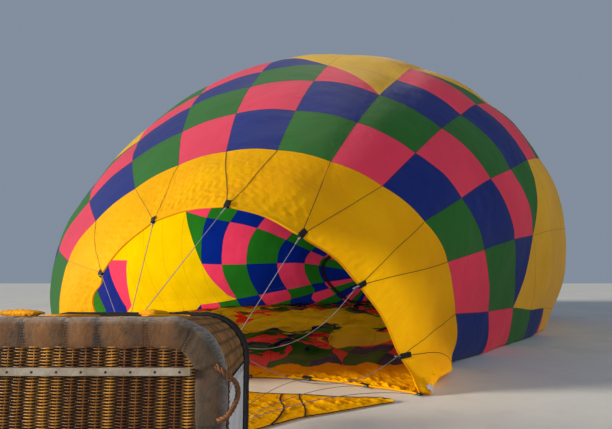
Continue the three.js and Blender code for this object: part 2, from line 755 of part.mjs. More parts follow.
/** Adds the four fuel cylinders, each a dished tank with a collar at its valve end. */
function addCylinders() {
  const profile = [
    [0, 0], [70, 6], [112, 26], [CYLINDER_RADIUS, 62], [CYLINDER_RADIUS, CYLINDER_LENGTH - 62],
    [112, CYLINDER_LENGTH - 26], [70, CYLINDER_LENGTH - 6], [24, CYLINDER_LENGTH],
    [24, CYLINDER_LENGTH + 46], [0, CYLINDER_LENGTH + 46],
  ].map(([radius, height]) => new THREE.Vector2(radius, height));
  [['left_lower', -1, -1], ['right_lower', 1, -1], ['left_upper', -1, 1], ['right_upper', 1, 1]].forEach(
    ([name, signX, signZ]) => {
      const tank = welded(new THREE.LatheGeometry(profile, 18));
      tank.translate(
        BASKET_X + signX * CYLINDER_OFFSET_X,
        CYLINDER_BASE_Y,
        CYLINDER_MIDDLE_Z + signZ * CYLINDER_OFFSET_Z,
      );
      addPiece(site, `fuel_cylinder_${name}`, tank, 'steel');
    },
  );
}

const frame = new THREE.Group();
frame.name = 'load_frame_group';
frame.position.set(FRAME_X, FRAME_Y, FRAME_Z);
frame.rotation.y = FRAME_ROLL;
frame.updateMatrix();
site.add(frame);

/** Site position of a point given in the frame's own axes. */
function frameToSite(u, w, v) {
  return new THREE.Vector3(u, w, v).applyMatrix4(frame.matrix);
}

/** Adds the load frame, the gimbal ring and the twin burner. */
function addBurner() {
  const at = (u, w, v) => new THREE.Vector3(u, w, v);
  const [U, V] = [FRAME_HALF_U, FRAME_HALF_V];
  const corners = [at(-U, 0, V), at(U, 0, V), at(U, 0, -V), at(-U, 0, -V)];
  const tubes = corners.map((corner, i) => bar(corner, corners[(i + 1) % 4], FRAME_TUBE));
  const joints = corners.map(
    (corner) => new THREE.SphereGeometry(FRAME_JOINT, 8, 6).translate(...corner.toArray()),
  );
  const lugs = corners.map((corner) => lugSolid(corner));
  const pinSpan = GIMBAL_HALF_U + GIMBAL_BAR / 2;
  const bosses = [-1, 1].map((sign) => bar(
    at(sign * (pinSpan + 6), 0, 0), at(sign * U, 0, 0), BOSS_RADIUS, 14,
  ));
  const holes = [-1, 1].map((sign) => bar(
    at(sign * (pinSpan - 2), 0, 0), at(sign * (pinSpan + 26), 0, 0), PIN_RADIUS + PIN_CLEARANCE, 14,
  ));
  addPiece(frame, 'load_frame', cut(union(...tubes, ...joints, ...lugs, ...bosses), ...holes), 'steel');

  const [GU, GV] = [GIMBAL_HALF_U, GIMBAL_HALF_V];
  const bars = [
    block([2 * GU + GIMBAL_BAR, GIMBAL_BAR, GIMBAL_BAR], [0, 0, GV]),
    block([2 * GU + GIMBAL_BAR, GIMBAL_BAR, GIMBAL_BAR], [0, 0, -GV]),
    block([GIMBAL_BAR, GIMBAL_BAR, 2 * GV], [-GU, 0, 0]),
    block([GIMBAL_BAR, GIMBAL_BAR, 2 * GV], [GU, 0, 0]),
  ];
  const ringPins = [-1, 1].map((sign) => bar(
    at(sign * GU, 0, 0), at(sign * (pinSpan + 19), 0, 0), PIN_RADIUS, 12,
  ));
  const seatDepth = GV - GIMBAL_BAR / 2;
  const seats = [-1, 1].map((sign) => bar(
    at(0, 0, sign * (seatDepth - 24)), at(0, 0, sign * GV), BOSS_RADIUS, 14,
  ));
  const seatHoles = [-1, 1].map((sign) => bar(
    at(0, 0, sign * (seatDepth - 30)), at(0, 0, sign * (seatDepth + 2)), PIN_RADIUS + PIN_CLEARANCE, 14,
  ));
  addPiece(frame, 'gimbal_ring', cut(union(...bars, ...ringPins, ...seats), ...seatHoles), 'steel');

  const reach = seatDepth - 24 - 8;
  const body = union(
    block([2 * CAN_OFFSET + 90, 60, 70], [0, -20, 0]),
    block([54, 44, 2 * reach], [0, -8, 0]),
    bar(at(0, 0, -(seatDepth - 5)), at(0, 0, seatDepth - 5), PIN_RADIUS, 12),
    block([170, 90, 96], [0, -80, 0]),
    bar(at(-CAN_OFFSET, -70, 0), at(-CAN_OFFSET, -20, 0), 30, 16),
    bar(at(CAN_OFFSET, -70, 0), at(CAN_OFFSET, -20, 0), 30, 16),
  );
  addPiece(frame, 'burner_block', body, 'brass');

  [['left', -1], ['right', 1]].forEach(([name, sign]) => {
    const centre = sign * CAN_OFFSET;
    const can = [
      [0, 10.5], [CAN_RADIUS - 20, 10.5], [CAN_RADIUS, 40], [CAN_RADIUS, CAN_LENGTH],
      [CAN_RADIUS - 4, CAN_LENGTH], [CAN_RADIUS - 4, 42], [CAN_RADIUS - 23, 18], [0, 18],
    ].map(([radius, height]) => new THREE.Vector2(radius, height));
    const shell = welded(new THREE.LatheGeometry(can, 22)).translate(centre, 0, 0);
    addPiece(frame, `burner_can_${name}`, shell, 'steel');
    addPiece(frame, `burner_coil_${name}`, coilSolid(sign).translate(centre, 0, 0), 'brass');
    const lever = union(
      bar(at(centre, -70.5, 0), at(centre, -112, 0), 8, 10),
      bar(at(centre, -108, 0), at(centre + sign * 66, -128, -18), 7, 10),
    );
    addPiece(frame, `valve_lever_${name}`, lever, 'fabricPink');
  });
}

/** Vaporising coil inside one burner can. */
function coilSolid(sign) {
  const points = [];
  const steps = COIL_TURNS * 8;
  for (let i = 0; i <= steps; i += 1) {
    const angle = (sign * 2 * Math.PI * COIL_TURNS * i) / steps;
    const radius = COIL_RADIUS - (COIL_TAPER * i) / steps;
    const height = 60 + (250 * i) / steps;
    points.push(new THREE.Vector3(radius * Math.cos(angle), height, radius * Math.sin(angle)));
  }
  points.unshift(new THREE.Vector3(COIL_RADIUS - 14, 36, 0));
  points.unshift(new THREE.Vector3(COIL_RADIUS - 14, 18.5, 0));
  return tubeAlong(new THREE.CatmullRomCurve3(points), COIL_TUBE, Math.round(steps * 1.5), 5);
}

/** Corner lug with an eye, standing in the plane of the corner's diagonal and the mouth direction. */
function lugSolid(corner) {
  const outward = corner.clone().normalize();
  const eye = lugEye(corner);
  const across = new THREE.Vector3(0, 1, 0).cross(outward).normalize();
  const plate = bar(eye.clone().addScaledVector(across, -5), eye.clone().addScaledVector(across, 5), 24, 20);
  const web = bar(corner, eye, 9, 10);
  const hole = bar(eye.clone().addScaledVector(across, -30), eye.clone().addScaledVector(across, 30), 12, 16);
  return cut(union(plate, web), hole);
}

/** Centre of a corner lug's eye, in the frame's own axes. */
function lugEye(corner) {
  const outward = corner.clone().normalize();
  return corner.clone().addScaledVector(outward, 14).add(new THREE.Vector3(0, 42, 0));
}

/** Adds the four corner links and the twelve flying wires with their thimbles. */
function addRigging() {
  const [U, V] = [FRAME_HALF_U, FRAME_HALF_V];
  const corners = [
    // name, u, v, first attachment
    ['left_upper', -U, V, 0],
    ['right_upper', U, V, 3],
    ['right_lower', U, -V, 6],
    ['left_lower', -U, -V, 9],
  ];
  const inward = insetDirections(mouthBandGrid(), BAND_STEPS);
  const band = site.getObjectByName('mouth_band').geometry;
  const sag = [0, 0, 0, 0, 210, 270, -115, -115, -115, -60, -60, -40];
  corners.forEach(([name, u, v, first]) => {
    const local = new THREE.Vector3(u, 0, v);
    const eye = frameToSite(...lugEye(local).toArray());
    const outward = frameToSite(...lugEye(local).add(local.clone().normalize()).toArray()).sub(eye);
    const normal = new THREE.Vector3(0, 1, 0).cross(outward).normalize();
    const targets = [0, 1, 2].map((n) => new THREE.Vector3(...ATTACHMENTS[first + n]));
    const mean = targets.reduce((sum, p) => sum.add(p), new THREE.Vector3()).divideScalar(3);
    const pull = mean.sub(eye);
    pull.addScaledVector(normal, -pull.dot(normal)).normalize();
    if (eye.z < 120) {
      pull.set(pull.x, pull.y, Math.max(pull.z, 0.02)).normalize();
    }
    const near = eye.clone().addScaledVector(pull, LINK_RADIUS + LINK_SEAT);
    const far = near.clone().addScaledVector(pull, LINK_LENGTH - 2 * LINK_RADIUS);
    const link = addPiece(site, `corner_link_${name}`, linkSolid(near, far, pull, normal), 'steel').geometry;
    const bearing = targets.map((target) => normal.dot(target.clone().sub(eye)));
    targets.forEach((target, n) => {
      const number = first + n + 1;
      const rank = bearing.filter((value) => value < bearing[n]).length - 1;
      const angle = 0.9 * rank;
      const radial = pull.clone().multiplyScalar(Math.cos(angle)).addScaledVector(normal, Math.sin(angle));
      const face = inward[0][2 * (2 * (number - 1) + 1.5)];
      const reach = { link: 2, band: 2 };
      const strung = () => {
        const start = far.clone().addScaledVector(radial, LINK_RADIUS + LINK_TUBE + reach.link);
        return wireSolid(start, radial, target, face, sag[number - 1], reach.band);
      };
      for (let pass = 0; pass < 3; pass += 1) {
        const wire = toManifold(strung());
        reach.link -= wire.minGap(toManifold(link), SEAT_SEARCH) - SEAT_GAP;
        reach.band -= wire.minGap(toManifold(band), SEAT_SEARCH) - SEAT_GAP;
      }
      addPiece(site, `flying_wire_${number}`, strung(), 'wire');
    });
  });
}

/** Oval link through a lug's eye. */
function linkSolid(near, far, pull, normal) {
  const points = [];
  const steps = 8;
  [[near, Math.PI / 2], [far, (3 * Math.PI) / 2]].forEach(([centre, startAngle]) => {
    for (let i = 0; i <= steps; i += 1) {
      const angle = startAngle + (Math.PI * i) / steps;
      points.push(centre.clone()
        .addScaledVector(pull, LINK_RADIUS * Math.cos(angle))
        .addScaledVector(normal, LINK_RADIUS * Math.sin(angle)));
    }
    const side = points.at(-1).clone().sub(centre).dot(normal);
    points.push(near.clone().lerp(far, 0.5).addScaledVector(normal, side));
  });
  const path = new THREE.CatmullRomCurve3(points, true);
  return closedTube(path, LINK_TUBE, 40, 8);
}

/** Round bar bent into a closed loop. */
function closedTube(path, radius, segments, sides) {
  const frames = path.computeFrenetFrames(segments, true);
  const points = [];
  const triangles = [];
  for (let i = 0; i < segments; i += 1) {
    const centre = path.getPointAt(i / segments);
    for (let j = 0; j < sides; j += 1) {
      const angle = (2 * Math.PI * j) / sides;
      points.push(centre.clone()
        .addScaledVector(frames.normals[i], radius * Math.cos(angle))
        .addScaledVector(frames.binormals[i], radius * Math.sin(angle)));
      const [a, b] = [i * sides + j, i * sides + ((j + 1) % sides)];
      const [c, d] = [((i + 1) % segments) * sides + ((j + 1) % sides), ((i + 1) % segments) * sides + j];
      triangles.push([a, b, c], [a, c, d]);
    }
  }
  return solidFrom(points, triangles);
}

/** One flying wire from a corner link to the mouth rim, with the thimble a short way before the rim. */
function wireSolid(start, leave, target, face, sag, rimGap) {
  const lowest = WIRE_RADIUS + 18;
  const aim = target.clone().addScaledVector(face, FABRIC_THICKNESS / 2);
  const run = aim.clone().sub(start).normalize();
  const overhang = (FABRIC_THICKNESS / 2) * Math.abs(face.dot(run));
  const ring = aim.clone().addScaledVector(run, -(THIMBLE_RADIUS + THIMBLE_TUBE + overhang + rimGap));
  const end = ring.clone().addScaledVector(run, -THIMBLE_RADIUS);
  const from = start.clone().addScaledVector(leave, 30);
  const points = Array.from({ length: 6 }, (_, i) => {
    const s = i / 5;
    const p = from.clone().lerp(end, s);
    p.z = Math.max(p.z - sag * 4 * s * (1 - s), lowest);
    return p;
  });
  const wire = tubeAlong(new THREE.CatmullRomCurve3([start, ...points]), WIRE_RADIUS, 9, 5);
  const thimble = new THREE.TorusGeometry(THIMBLE_RADIUS, THIMBLE_TUBE, 5, 12);
  const level = new THREE.Vector3(0, 0, 1).cross(run).normalize();
  const basis = new THREE.Matrix4().makeBasis(run, level, run.clone().cross(level));
  thimble.applyMatrix4(basis.setPosition(ring));
  return union(wire, thimble);
}

/** Adds the four padded uprights between the rim's corners and the load frame. */
function addUprights() {
  [['left_upper', -1, 1], ['right_upper', 1, 1], ['right_lower', 1, -1], ['left_lower', -1, -1]].forEach(
    ([name, signX, signZ]) => {
      const foot = new THREE.Vector3(
        BASKET_X + signX * UPRIGHT_OFFSET_X,
        BASKET_RIM_Y + 2 * RIM_TUBE + 0.9,
        UPRIGHT_MIDDLE_Z + signZ * UPRIGHT_OFFSET_Z,
      );
      const corner = (back) => frameToSite(signX * FRAME_HALF_U, -back, signZ * FRAME_HALF_V);
      const path = new THREE.CatmullRomCurve3([
        foot,
        foot.clone().add(new THREE.Vector3(0, 70, 0)),
        foot.clone().lerp(corner(0), 0.5),
        corner(100),
        corner(FRAME_JOINT + 0.4),
      ]);
      addPiece(site, `upright_${name}`, tubeAlong(path, UPRIGHT_RADIUS, 10, 10), 'sleeve');
    },
  );
}

addPiece(site, 'envelope', envelopeSolid(), 'fabricPink');
addPiece(site, 'mouth_band', mouthBandSolid(), 'fabricYellow');
addPiece(site, 'vent_panel', ventSolid(), 'fabricPink');
addPiece(site, 'crown_tapes', crownTapesSolid(), 'tape');
addPiece(site, 'scoop', scoopSolid(), 'fabricYellow');
addBasket();
addCylinders();
addBurner();
addRigging();
addUprights();

const bounds = new THREE.Box3().setFromObject(site);
const middle = bounds.getCenter(new THREE.Vector3());
site.position.set(-middle.x, -middle.y, -bounds.min.z);

export default site;
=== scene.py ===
"""Looks of a hot air balloon that lies on its side in cold inflation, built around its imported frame.

Lengths are metres. +Y runs from the basket towards the crown and +Z is up. Site points are measured from
the ground under the camera; the Site class moves them into the frame's own axes.
"""
import logging
import math
from dataclasses import dataclass, field
from enum import Enum
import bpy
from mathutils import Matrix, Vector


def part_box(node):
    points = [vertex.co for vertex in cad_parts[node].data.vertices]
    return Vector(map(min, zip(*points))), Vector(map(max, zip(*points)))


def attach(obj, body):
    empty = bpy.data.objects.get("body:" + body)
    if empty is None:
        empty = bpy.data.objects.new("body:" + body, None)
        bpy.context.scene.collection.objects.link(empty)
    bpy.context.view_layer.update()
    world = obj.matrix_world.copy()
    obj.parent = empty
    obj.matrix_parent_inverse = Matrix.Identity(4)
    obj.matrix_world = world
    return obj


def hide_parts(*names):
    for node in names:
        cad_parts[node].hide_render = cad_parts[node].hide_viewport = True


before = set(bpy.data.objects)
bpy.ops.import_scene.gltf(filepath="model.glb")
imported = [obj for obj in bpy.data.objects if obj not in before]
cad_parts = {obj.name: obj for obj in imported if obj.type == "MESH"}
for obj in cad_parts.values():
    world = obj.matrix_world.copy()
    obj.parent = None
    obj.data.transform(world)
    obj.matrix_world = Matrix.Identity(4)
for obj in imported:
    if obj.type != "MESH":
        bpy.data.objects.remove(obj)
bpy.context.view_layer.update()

from types import SimpleNamespace
from typing import Optional, Sequence, Union

import bpy
import numpy as np
from mathutils import Vector

LOG = logging.getLogger("balloon")
Array = np.ndarray
Number = Union[np.ndarray, float]
Colour = tuple[float, float, float]
GORES = 24
EAST, NORTH, UP = np.eye(3)
# name of a corner, its side along u or x, and its side along v or z
CORNERS = (("left_upper", -1, 1), ("right_upper", 1, 1), ("right_lower", 1, -1), ("left_lower", -1, -1))


def paint(red: int, green: int, blue: int) -> Colour:
    """Linear colour from the 0 to 255 numbers of a paint chart."""
    share = np.array([red, green, blue]) / 255.0
    low = share / 12.92
    high = ((share + 0.055) / 1.055) ** 2.4
    return tuple(float(value) for value in np.where(share <= 0.04045, low, high))


def unit(vectors: Array) -> Array:
    """Vectors of length one in the same directions."""
    return vectors / np.maximum(np.linalg.norm(vectors, axis=-1, keepdims=True), 1e-12)


def smoothstep(low: Number, high: Number, value: Number) -> Array:
    """Smooth step from 0 at low to 1 at high: 3t^2 - 2t^3 of the clipped share t."""
    share = np.clip((value - low) / (high - low), 0, 1)
    return share * share * (3 - 2 * share)


def stacked(*values: Number) -> Array:
    """Values whose shapes fit each other, side by side along a new last axis."""
    return np.stack(np.broadcast_arrays(*values), -1)


def full_turn(count: int) -> Array:
    """Evenly spaced angles round a full turn."""
    return np.arange(count) * 2 * math.pi / count


def arc(angle: Array, a: Array, b: Array) -> Array:
    """Points at these angles on the circle of radius one that two directions span."""
    return np.cos(angle)[..., None] * a + np.sin(angle)[..., None] * b


def span(before: Array, start: Array, end: Array, after: Array, s: Array) -> Array:
    """Catmull-Rom curve at the share s of the way from start to end, given their neighbours."""
    return 0.5 * (2 * start + (end - before) * s + (2 * before - 5 * start + 4 * end - after) * s**2
                  + (3 * start - before - 3 * end + after) * s**3)


def catmull(knots: Array, steps: int) -> Array:
    """Smooth line through knots, with that many points in each span."""
    ends = np.concatenate([2 * knots[:1] - knots[1:2], knots, 2 * knots[-1:] - knots[-2:-1]])
    count = len(knots) - 1
    place = np.linspace(0, count, count * steps + 1)
    i = np.minimum(place.astype(int), count - 1)
    return span(ends[i], ends[i + 1], ends[i + 2], ends[i + 3], (place - i)[:, None])


def ripple(points: Array, length: float, seed: int, waves: int = 9, creased: bool = False) -> Array:
    """Soft unevenness between about -1 and 1: the mean of plane waves in seeded directions.

    Args:
        points: Places, with the three coordinates last.
        length: Mean distance from crest to crest.
        seed: Seed of the directions and phases.
        waves: Number of waves added up.
        creased: Folds every wave at zero, which gives sharp valleys.

    Returns:
        One value for each point.
    """
    random = np.random.default_rng(seed)
    directions = unit(random.normal(size=(waves, 3)))
    numbers = 2 * math.pi / (length * random.uniform(0.7, 1.5, waves))
    phases = random.uniform(0, 2 * math.pi, waves)
    wave = np.sin(np.einsum("...k,wk->...w", points, directions) * numbers + phases)
    if creased:
        wave = 1 - 2 * np.abs(wave)
    return wave.mean(-1) * 1.8


@dataclass
class Patch:
    """Part of a mesh.

    Attributes:
        points: Corner places, one row each.
        faces: Four corner numbers a row; a triangle has -1 in the last column.
        uv: Pattern coordinates of each corner, or None.
        values: Named numbers of each corner, which materials read.
    """

    points: Array
    faces: Array
    uv: Optional[Array] = None
    values: dict[str, Array] = field(default_factory=dict)


def grid_faces(rows: int, columns: int, wrap_rows: bool, wrap_columns: bool) -> Array:
    """Four-cornered faces of a grid whose corners are numbered row by row."""
    i = np.arange(rows if wrap_rows else rows - 1)[:, None]
    j = np.arange(columns if wrap_columns else columns - 1)[None, :]
    below, right = (i + 1) % rows, (j + 1) % columns
    corners = (i * columns + j, i * columns + right, below * columns + right, below * columns + j)
    return stacked(*corners).reshape(-1, 4)


def grid_patch(points: Array, uv: Optional[Array] = None, wrap: bool = False, flip: bool = False,
               **values: Array) -> Patch:
    """Surface through a grid of points of shape (rows, columns, 3).

    Args:
        points: The grid.
        uv: Pattern coordinates of shape (rows, columns, 2).
        wrap: Joins the last column to the first.
        flip: Turns the faces round.
        values: Named numbers of shape (rows, columns).

    Returns:
        The patch.
    """
    rows, columns = points.shape[:2]
    faces = grid_faces(rows, columns, False, wrap)
    flat = {name: np.broadcast_to(value, (rows, columns)).reshape(-1) for name, value in values.items()}
    return Patch(points.reshape(-1, 3), faces[:, ::-1] if flip else faces,
                 None if uv is None else uv.reshape(-1, 2), flat)


def rods(paths: Array, side: Array, radius: Number, sides: int, closed: bool = False, flat: float = 1.0,
         **values: Array) -> Patch:
    """Round or oval bars: a ring of points carried along each path.

    A ring point is the path's point plus radius times (a cos(angle) + flat b sin(angle)), where a is the side
    direction square to the path and b is square to both.

    Args:
        paths: Points of shape (rods, steps, 3), or (steps, 3) for one rod.
        side: Direction that is never along a path, broadcast to the paths' shape.
        radius: Radius, one number or broadcast to (rods, steps).
        sides: Points round each ring.
        closed: Joins each path's end to its start.
        flat: Share of the radius across the side direction.
        values: Named numbers, broadcast to (rods, steps).

    Returns:
        One patch that holds every rod, with closed ends.
    """
    paths = paths.reshape(-1, *paths.shape[-2:])
    count, steps = paths.shape[:2]
    if closed:
        run = np.roll(paths, -1, 1) - np.roll(paths, 1, 1)
    else:
        run = np.gradient(paths, axis=1)
    tangent = unit(run)
    side = np.broadcast_to(side, paths.shape)
    a = unit(side - tangent * (side * tangent).sum(-1, keepdims=True))
    b = np.cross(tangent, a)
    angle = full_turn(sides)
    reach = np.broadcast_to(radius, (count, steps))[..., None, None]
    ring = paths[:, :, None] + reach * (
        a[:, :, None] * np.cos(angle)[:, None] + flat * b[:, :, None] * np.sin(angle)[:, None])
    length = np.linalg.norm(np.diff(paths, axis=1, prepend=paths[:, :1]), axis=-1).cumsum(1)
    around = np.broadcast_to(angle / (2 * math.pi), (count, steps, sides))
    uv = np.stack([around, np.broadcast_to(length[..., None], around.shape)], -1)
    one = grid_faces(steps, sides, closed, True)
    faces = (one[None] + (np.arange(count) * steps * sides)[:, None, None]).reshape(-1, 4)
    points = ring.reshape(-1, 3)
    uv = uv.reshape(-1, 2)
    tags = {name: np.repeat(np.broadcast_to(value, (count, steps)).reshape(-1), sides)
            for name, value in values.items()}
    if not closed:
        ends = np.arange(count)[:, None]
        j = np.arange(sides)[None, :]
        first = ends * steps * sides
        last = first + (steps - 1) * sides
        start, stop = len(points) + ends, len(points) + count + ends
        blank = np.full((count, sides), -1)
        near = stacked(start, first + (j + 1) % sides, first + j, blank)
        far = stacked(stop, last + j, last + (j + 1) % sides, blank)
        faces = np.concatenate([faces, near.reshape(-1, 4), far.reshape(-1, 4)])
        points = np.concatenate([points, paths[:, 0], paths[:, -1]])
        uv = np.concatenate([uv, uv[first[:, 0]], uv[last[:, 0]]])
        tags = {name: np.concatenate([tag, tag[first[:, 0]], tag[last[:, 0]]]) for name, tag in tags.items()}
    return Patch(points, faces, uv, tags)


def lathe(profile: Array, axis_start: Array, axis: Array, side: Array, sides: int) -> Patch:
    """Turned solid: profile rows of (radius, height) carried round an axis; a radius of 0 closes an end."""
    a = unit(side - axis * (side @ axis))
    radius, height = profile[:, 0][:, None, None], profile[:, 1][:, None, None]
    points = axis_start + height * axis + radius * arc(full_turn(sides), a, np.cross(axis, a))
    return grid_patch(points, wrap=True)


def beads(centres: Array, axis: Array, radius: float, height: float, sides: int) -> Patch:
    """Low round heads, such as screws: four rings on each centre, domed along the axis."""
    a = unit(np.cross(axis, [0.3, 0.5, 0.81]))
    round_it = arc(full_turn(sides), a, np.cross(axis, a))
    # shares of the radius and of the height
    shape = np.array([[1.0, 0.0], [0.95, 0.55], [0.6, 0.9], [0.02, 1.0]])
    rings = shape[:, 0][:, None, None] * radius * round_it + shape[:, 1][:, None, None] * height * axis
    points = centres[:, None, None] + rings
    one = grid_faces(len(shape), sides, False, True)
    faces = (one[None] + (np.arange(len(centres)) * len(shape) * sides)[:, None, None]).reshape(-1, 4)
    return Patch(points.reshape(-1, 3), faces)


def laid_rope(path: Array, radius: float, lay: float) -> list[Patch]:
    """Rope of three strands that wind round a path once in each lay length."""
    tangent = unit(np.gradient(path, axis=0))
    side = unit(np.cross(tangent, [0.31, 0.17, 0.93]))
    other = np.cross(tangent, side)
    length = np.linalg.norm(np.diff(path, axis=0, prepend=path[:1]), axis=1).cumsum()
    made = []
    for n in range(3):
        line = path + radius * 0.5 * arc(2 * math.pi * (length / lay + n / 3), side, other)
        made.append(rods(line, other, radius * 0.56, 7))
    return made


def add_object(name: str, data: bpy.types.ID) -> bpy.types.Object:
    """Adds an object to the scene."""
    made = bpy.data.objects.new(name, data)
    bpy.context.scene.collection.objects.link(made)
    return made


def piece(name: str, patches: Sequence[Patch], material: bpy.types.Material, *,
          body: str = "balloon", stands_for: Sequence[str] = (), smooth: bool = True) -> bpy.types.Object:
    """Makes one finished piece: writes the mesh, dresses it and lets it ride on its body.

    Args:
        name: Name of the piece.
        patches: Parts of its mesh.
        material: Its finish.
        body: Body that it moves with.
        stands_for: Nodes of the frame that it is shown instead of.
        smooth: Shades the faces smoothly.

    Returns:
        The new object.
    """
    offsets = np.cumsum([0] + [len(patch.points) for patch in patches])
    points = np.concatenate([patch.points for patch in patches])
    faces = np.concatenate([np.where(p.faces < 0, -1, p.faces + o) for p, o in zip(patches, offsets)])
    totals = (faces >= 0).sum(1)
    corners = faces[faces >= 0]
    mesh = bpy.data.meshes.new(name)
    mesh.vertices.add(len(points))
    mesh.vertices.foreach_set("co", points.astype(np.float32).ravel())
    mesh.loops.add(len(corners))
    mesh.loops.foreach_set("vertex_index", corners.astype(np.int32))
    mesh.polygons.add(len(faces))
    mesh.polygons.foreach_set("loop_start", np.concatenate([[0], totals.cumsum()[:-1]]).astype(np.int32))
    mesh.polygons.foreach_set("use_smooth", np.full(len(faces), smooth))
    if any(patch.uv is not None for patch in patches):
        uv = np.concatenate([np.zeros((len(p.points), 2)) if p.uv is None else p.uv for p in patches])
        mesh.uv_layers.new(name="Pattern").data.foreach_set("uv", uv[corners].astype(np.float32).ravel())
    for tag in sorted({tag for patch in patches for tag in patch.values}):
        number = np.concatenate([p.values.get(tag, np.zeros(len(p.points))) for p in patches])
        mesh.attributes.new(tag, "FLOAT", "POINT").data.foreach_set("value", number.astype(np.float32))
    mesh.update(calc_edges=True)
    mesh.validate()
    mesh.materials.append(material)
    made = add_object(name, mesh)
    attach(made, body)
    if stands_for:
        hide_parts(*stands_for)
    LOG.info("%s: %d faces", name, len(faces))
    return made


Operand = Union["Signal", float, tuple]


class Signal:
    """Output of a shader node that can be used in formulas."""

    def __init__(self, graph: "Graph", socket: bpy.types.NodeSocket) -> None:
        """Keeps the graph and the socket."""
        self.graph = graph
        self.socket = socket

    def __add__(self, other: Operand) -> "Signal":
        """Sum."""
        return self.graph.math("ADD", self, other)

    def __sub__(self, other: Operand) -> "Signal":
        """Difference."""
        return self.graph.math("SUBTRACT", self, other)

    def __rsub__(self, other: Operand) -> "Signal":
        """Difference from a number."""
        return self.graph.math("SUBTRACT", other, self)

    def __mul__(self, other: Operand) -> "Signal":
        """Product."""
        return self.graph.math("MULTIPLY", self, other)

    def above(self, other: Operand) -> "Signal":
        """1 where this is greater, else 0."""
        return self.graph.math("GREATER_THAN", self, other)

    def below(self, other: Operand) -> "Signal":
        """1 where this is less, else 0."""
        return self.graph.math("LESS_THAN", self, other)

    def remainder(self, other: float) -> "Signal":
        """Remainder after division, never negative."""
        return self.graph.math("FLOORED_MODULO", self, other)

    def apply(self, operation: str) -> "Signal":
        """Result of a math node with one input."""
        return self.graph.math(operation, self)

    def between(self, low: float, high: float) -> "Signal":
        """Share from 0 at low to 1 at high, clipped."""
        return self.graph.add("ShaderNodeMapRange", {"Value": self, "From Min": low, "From Max": high})


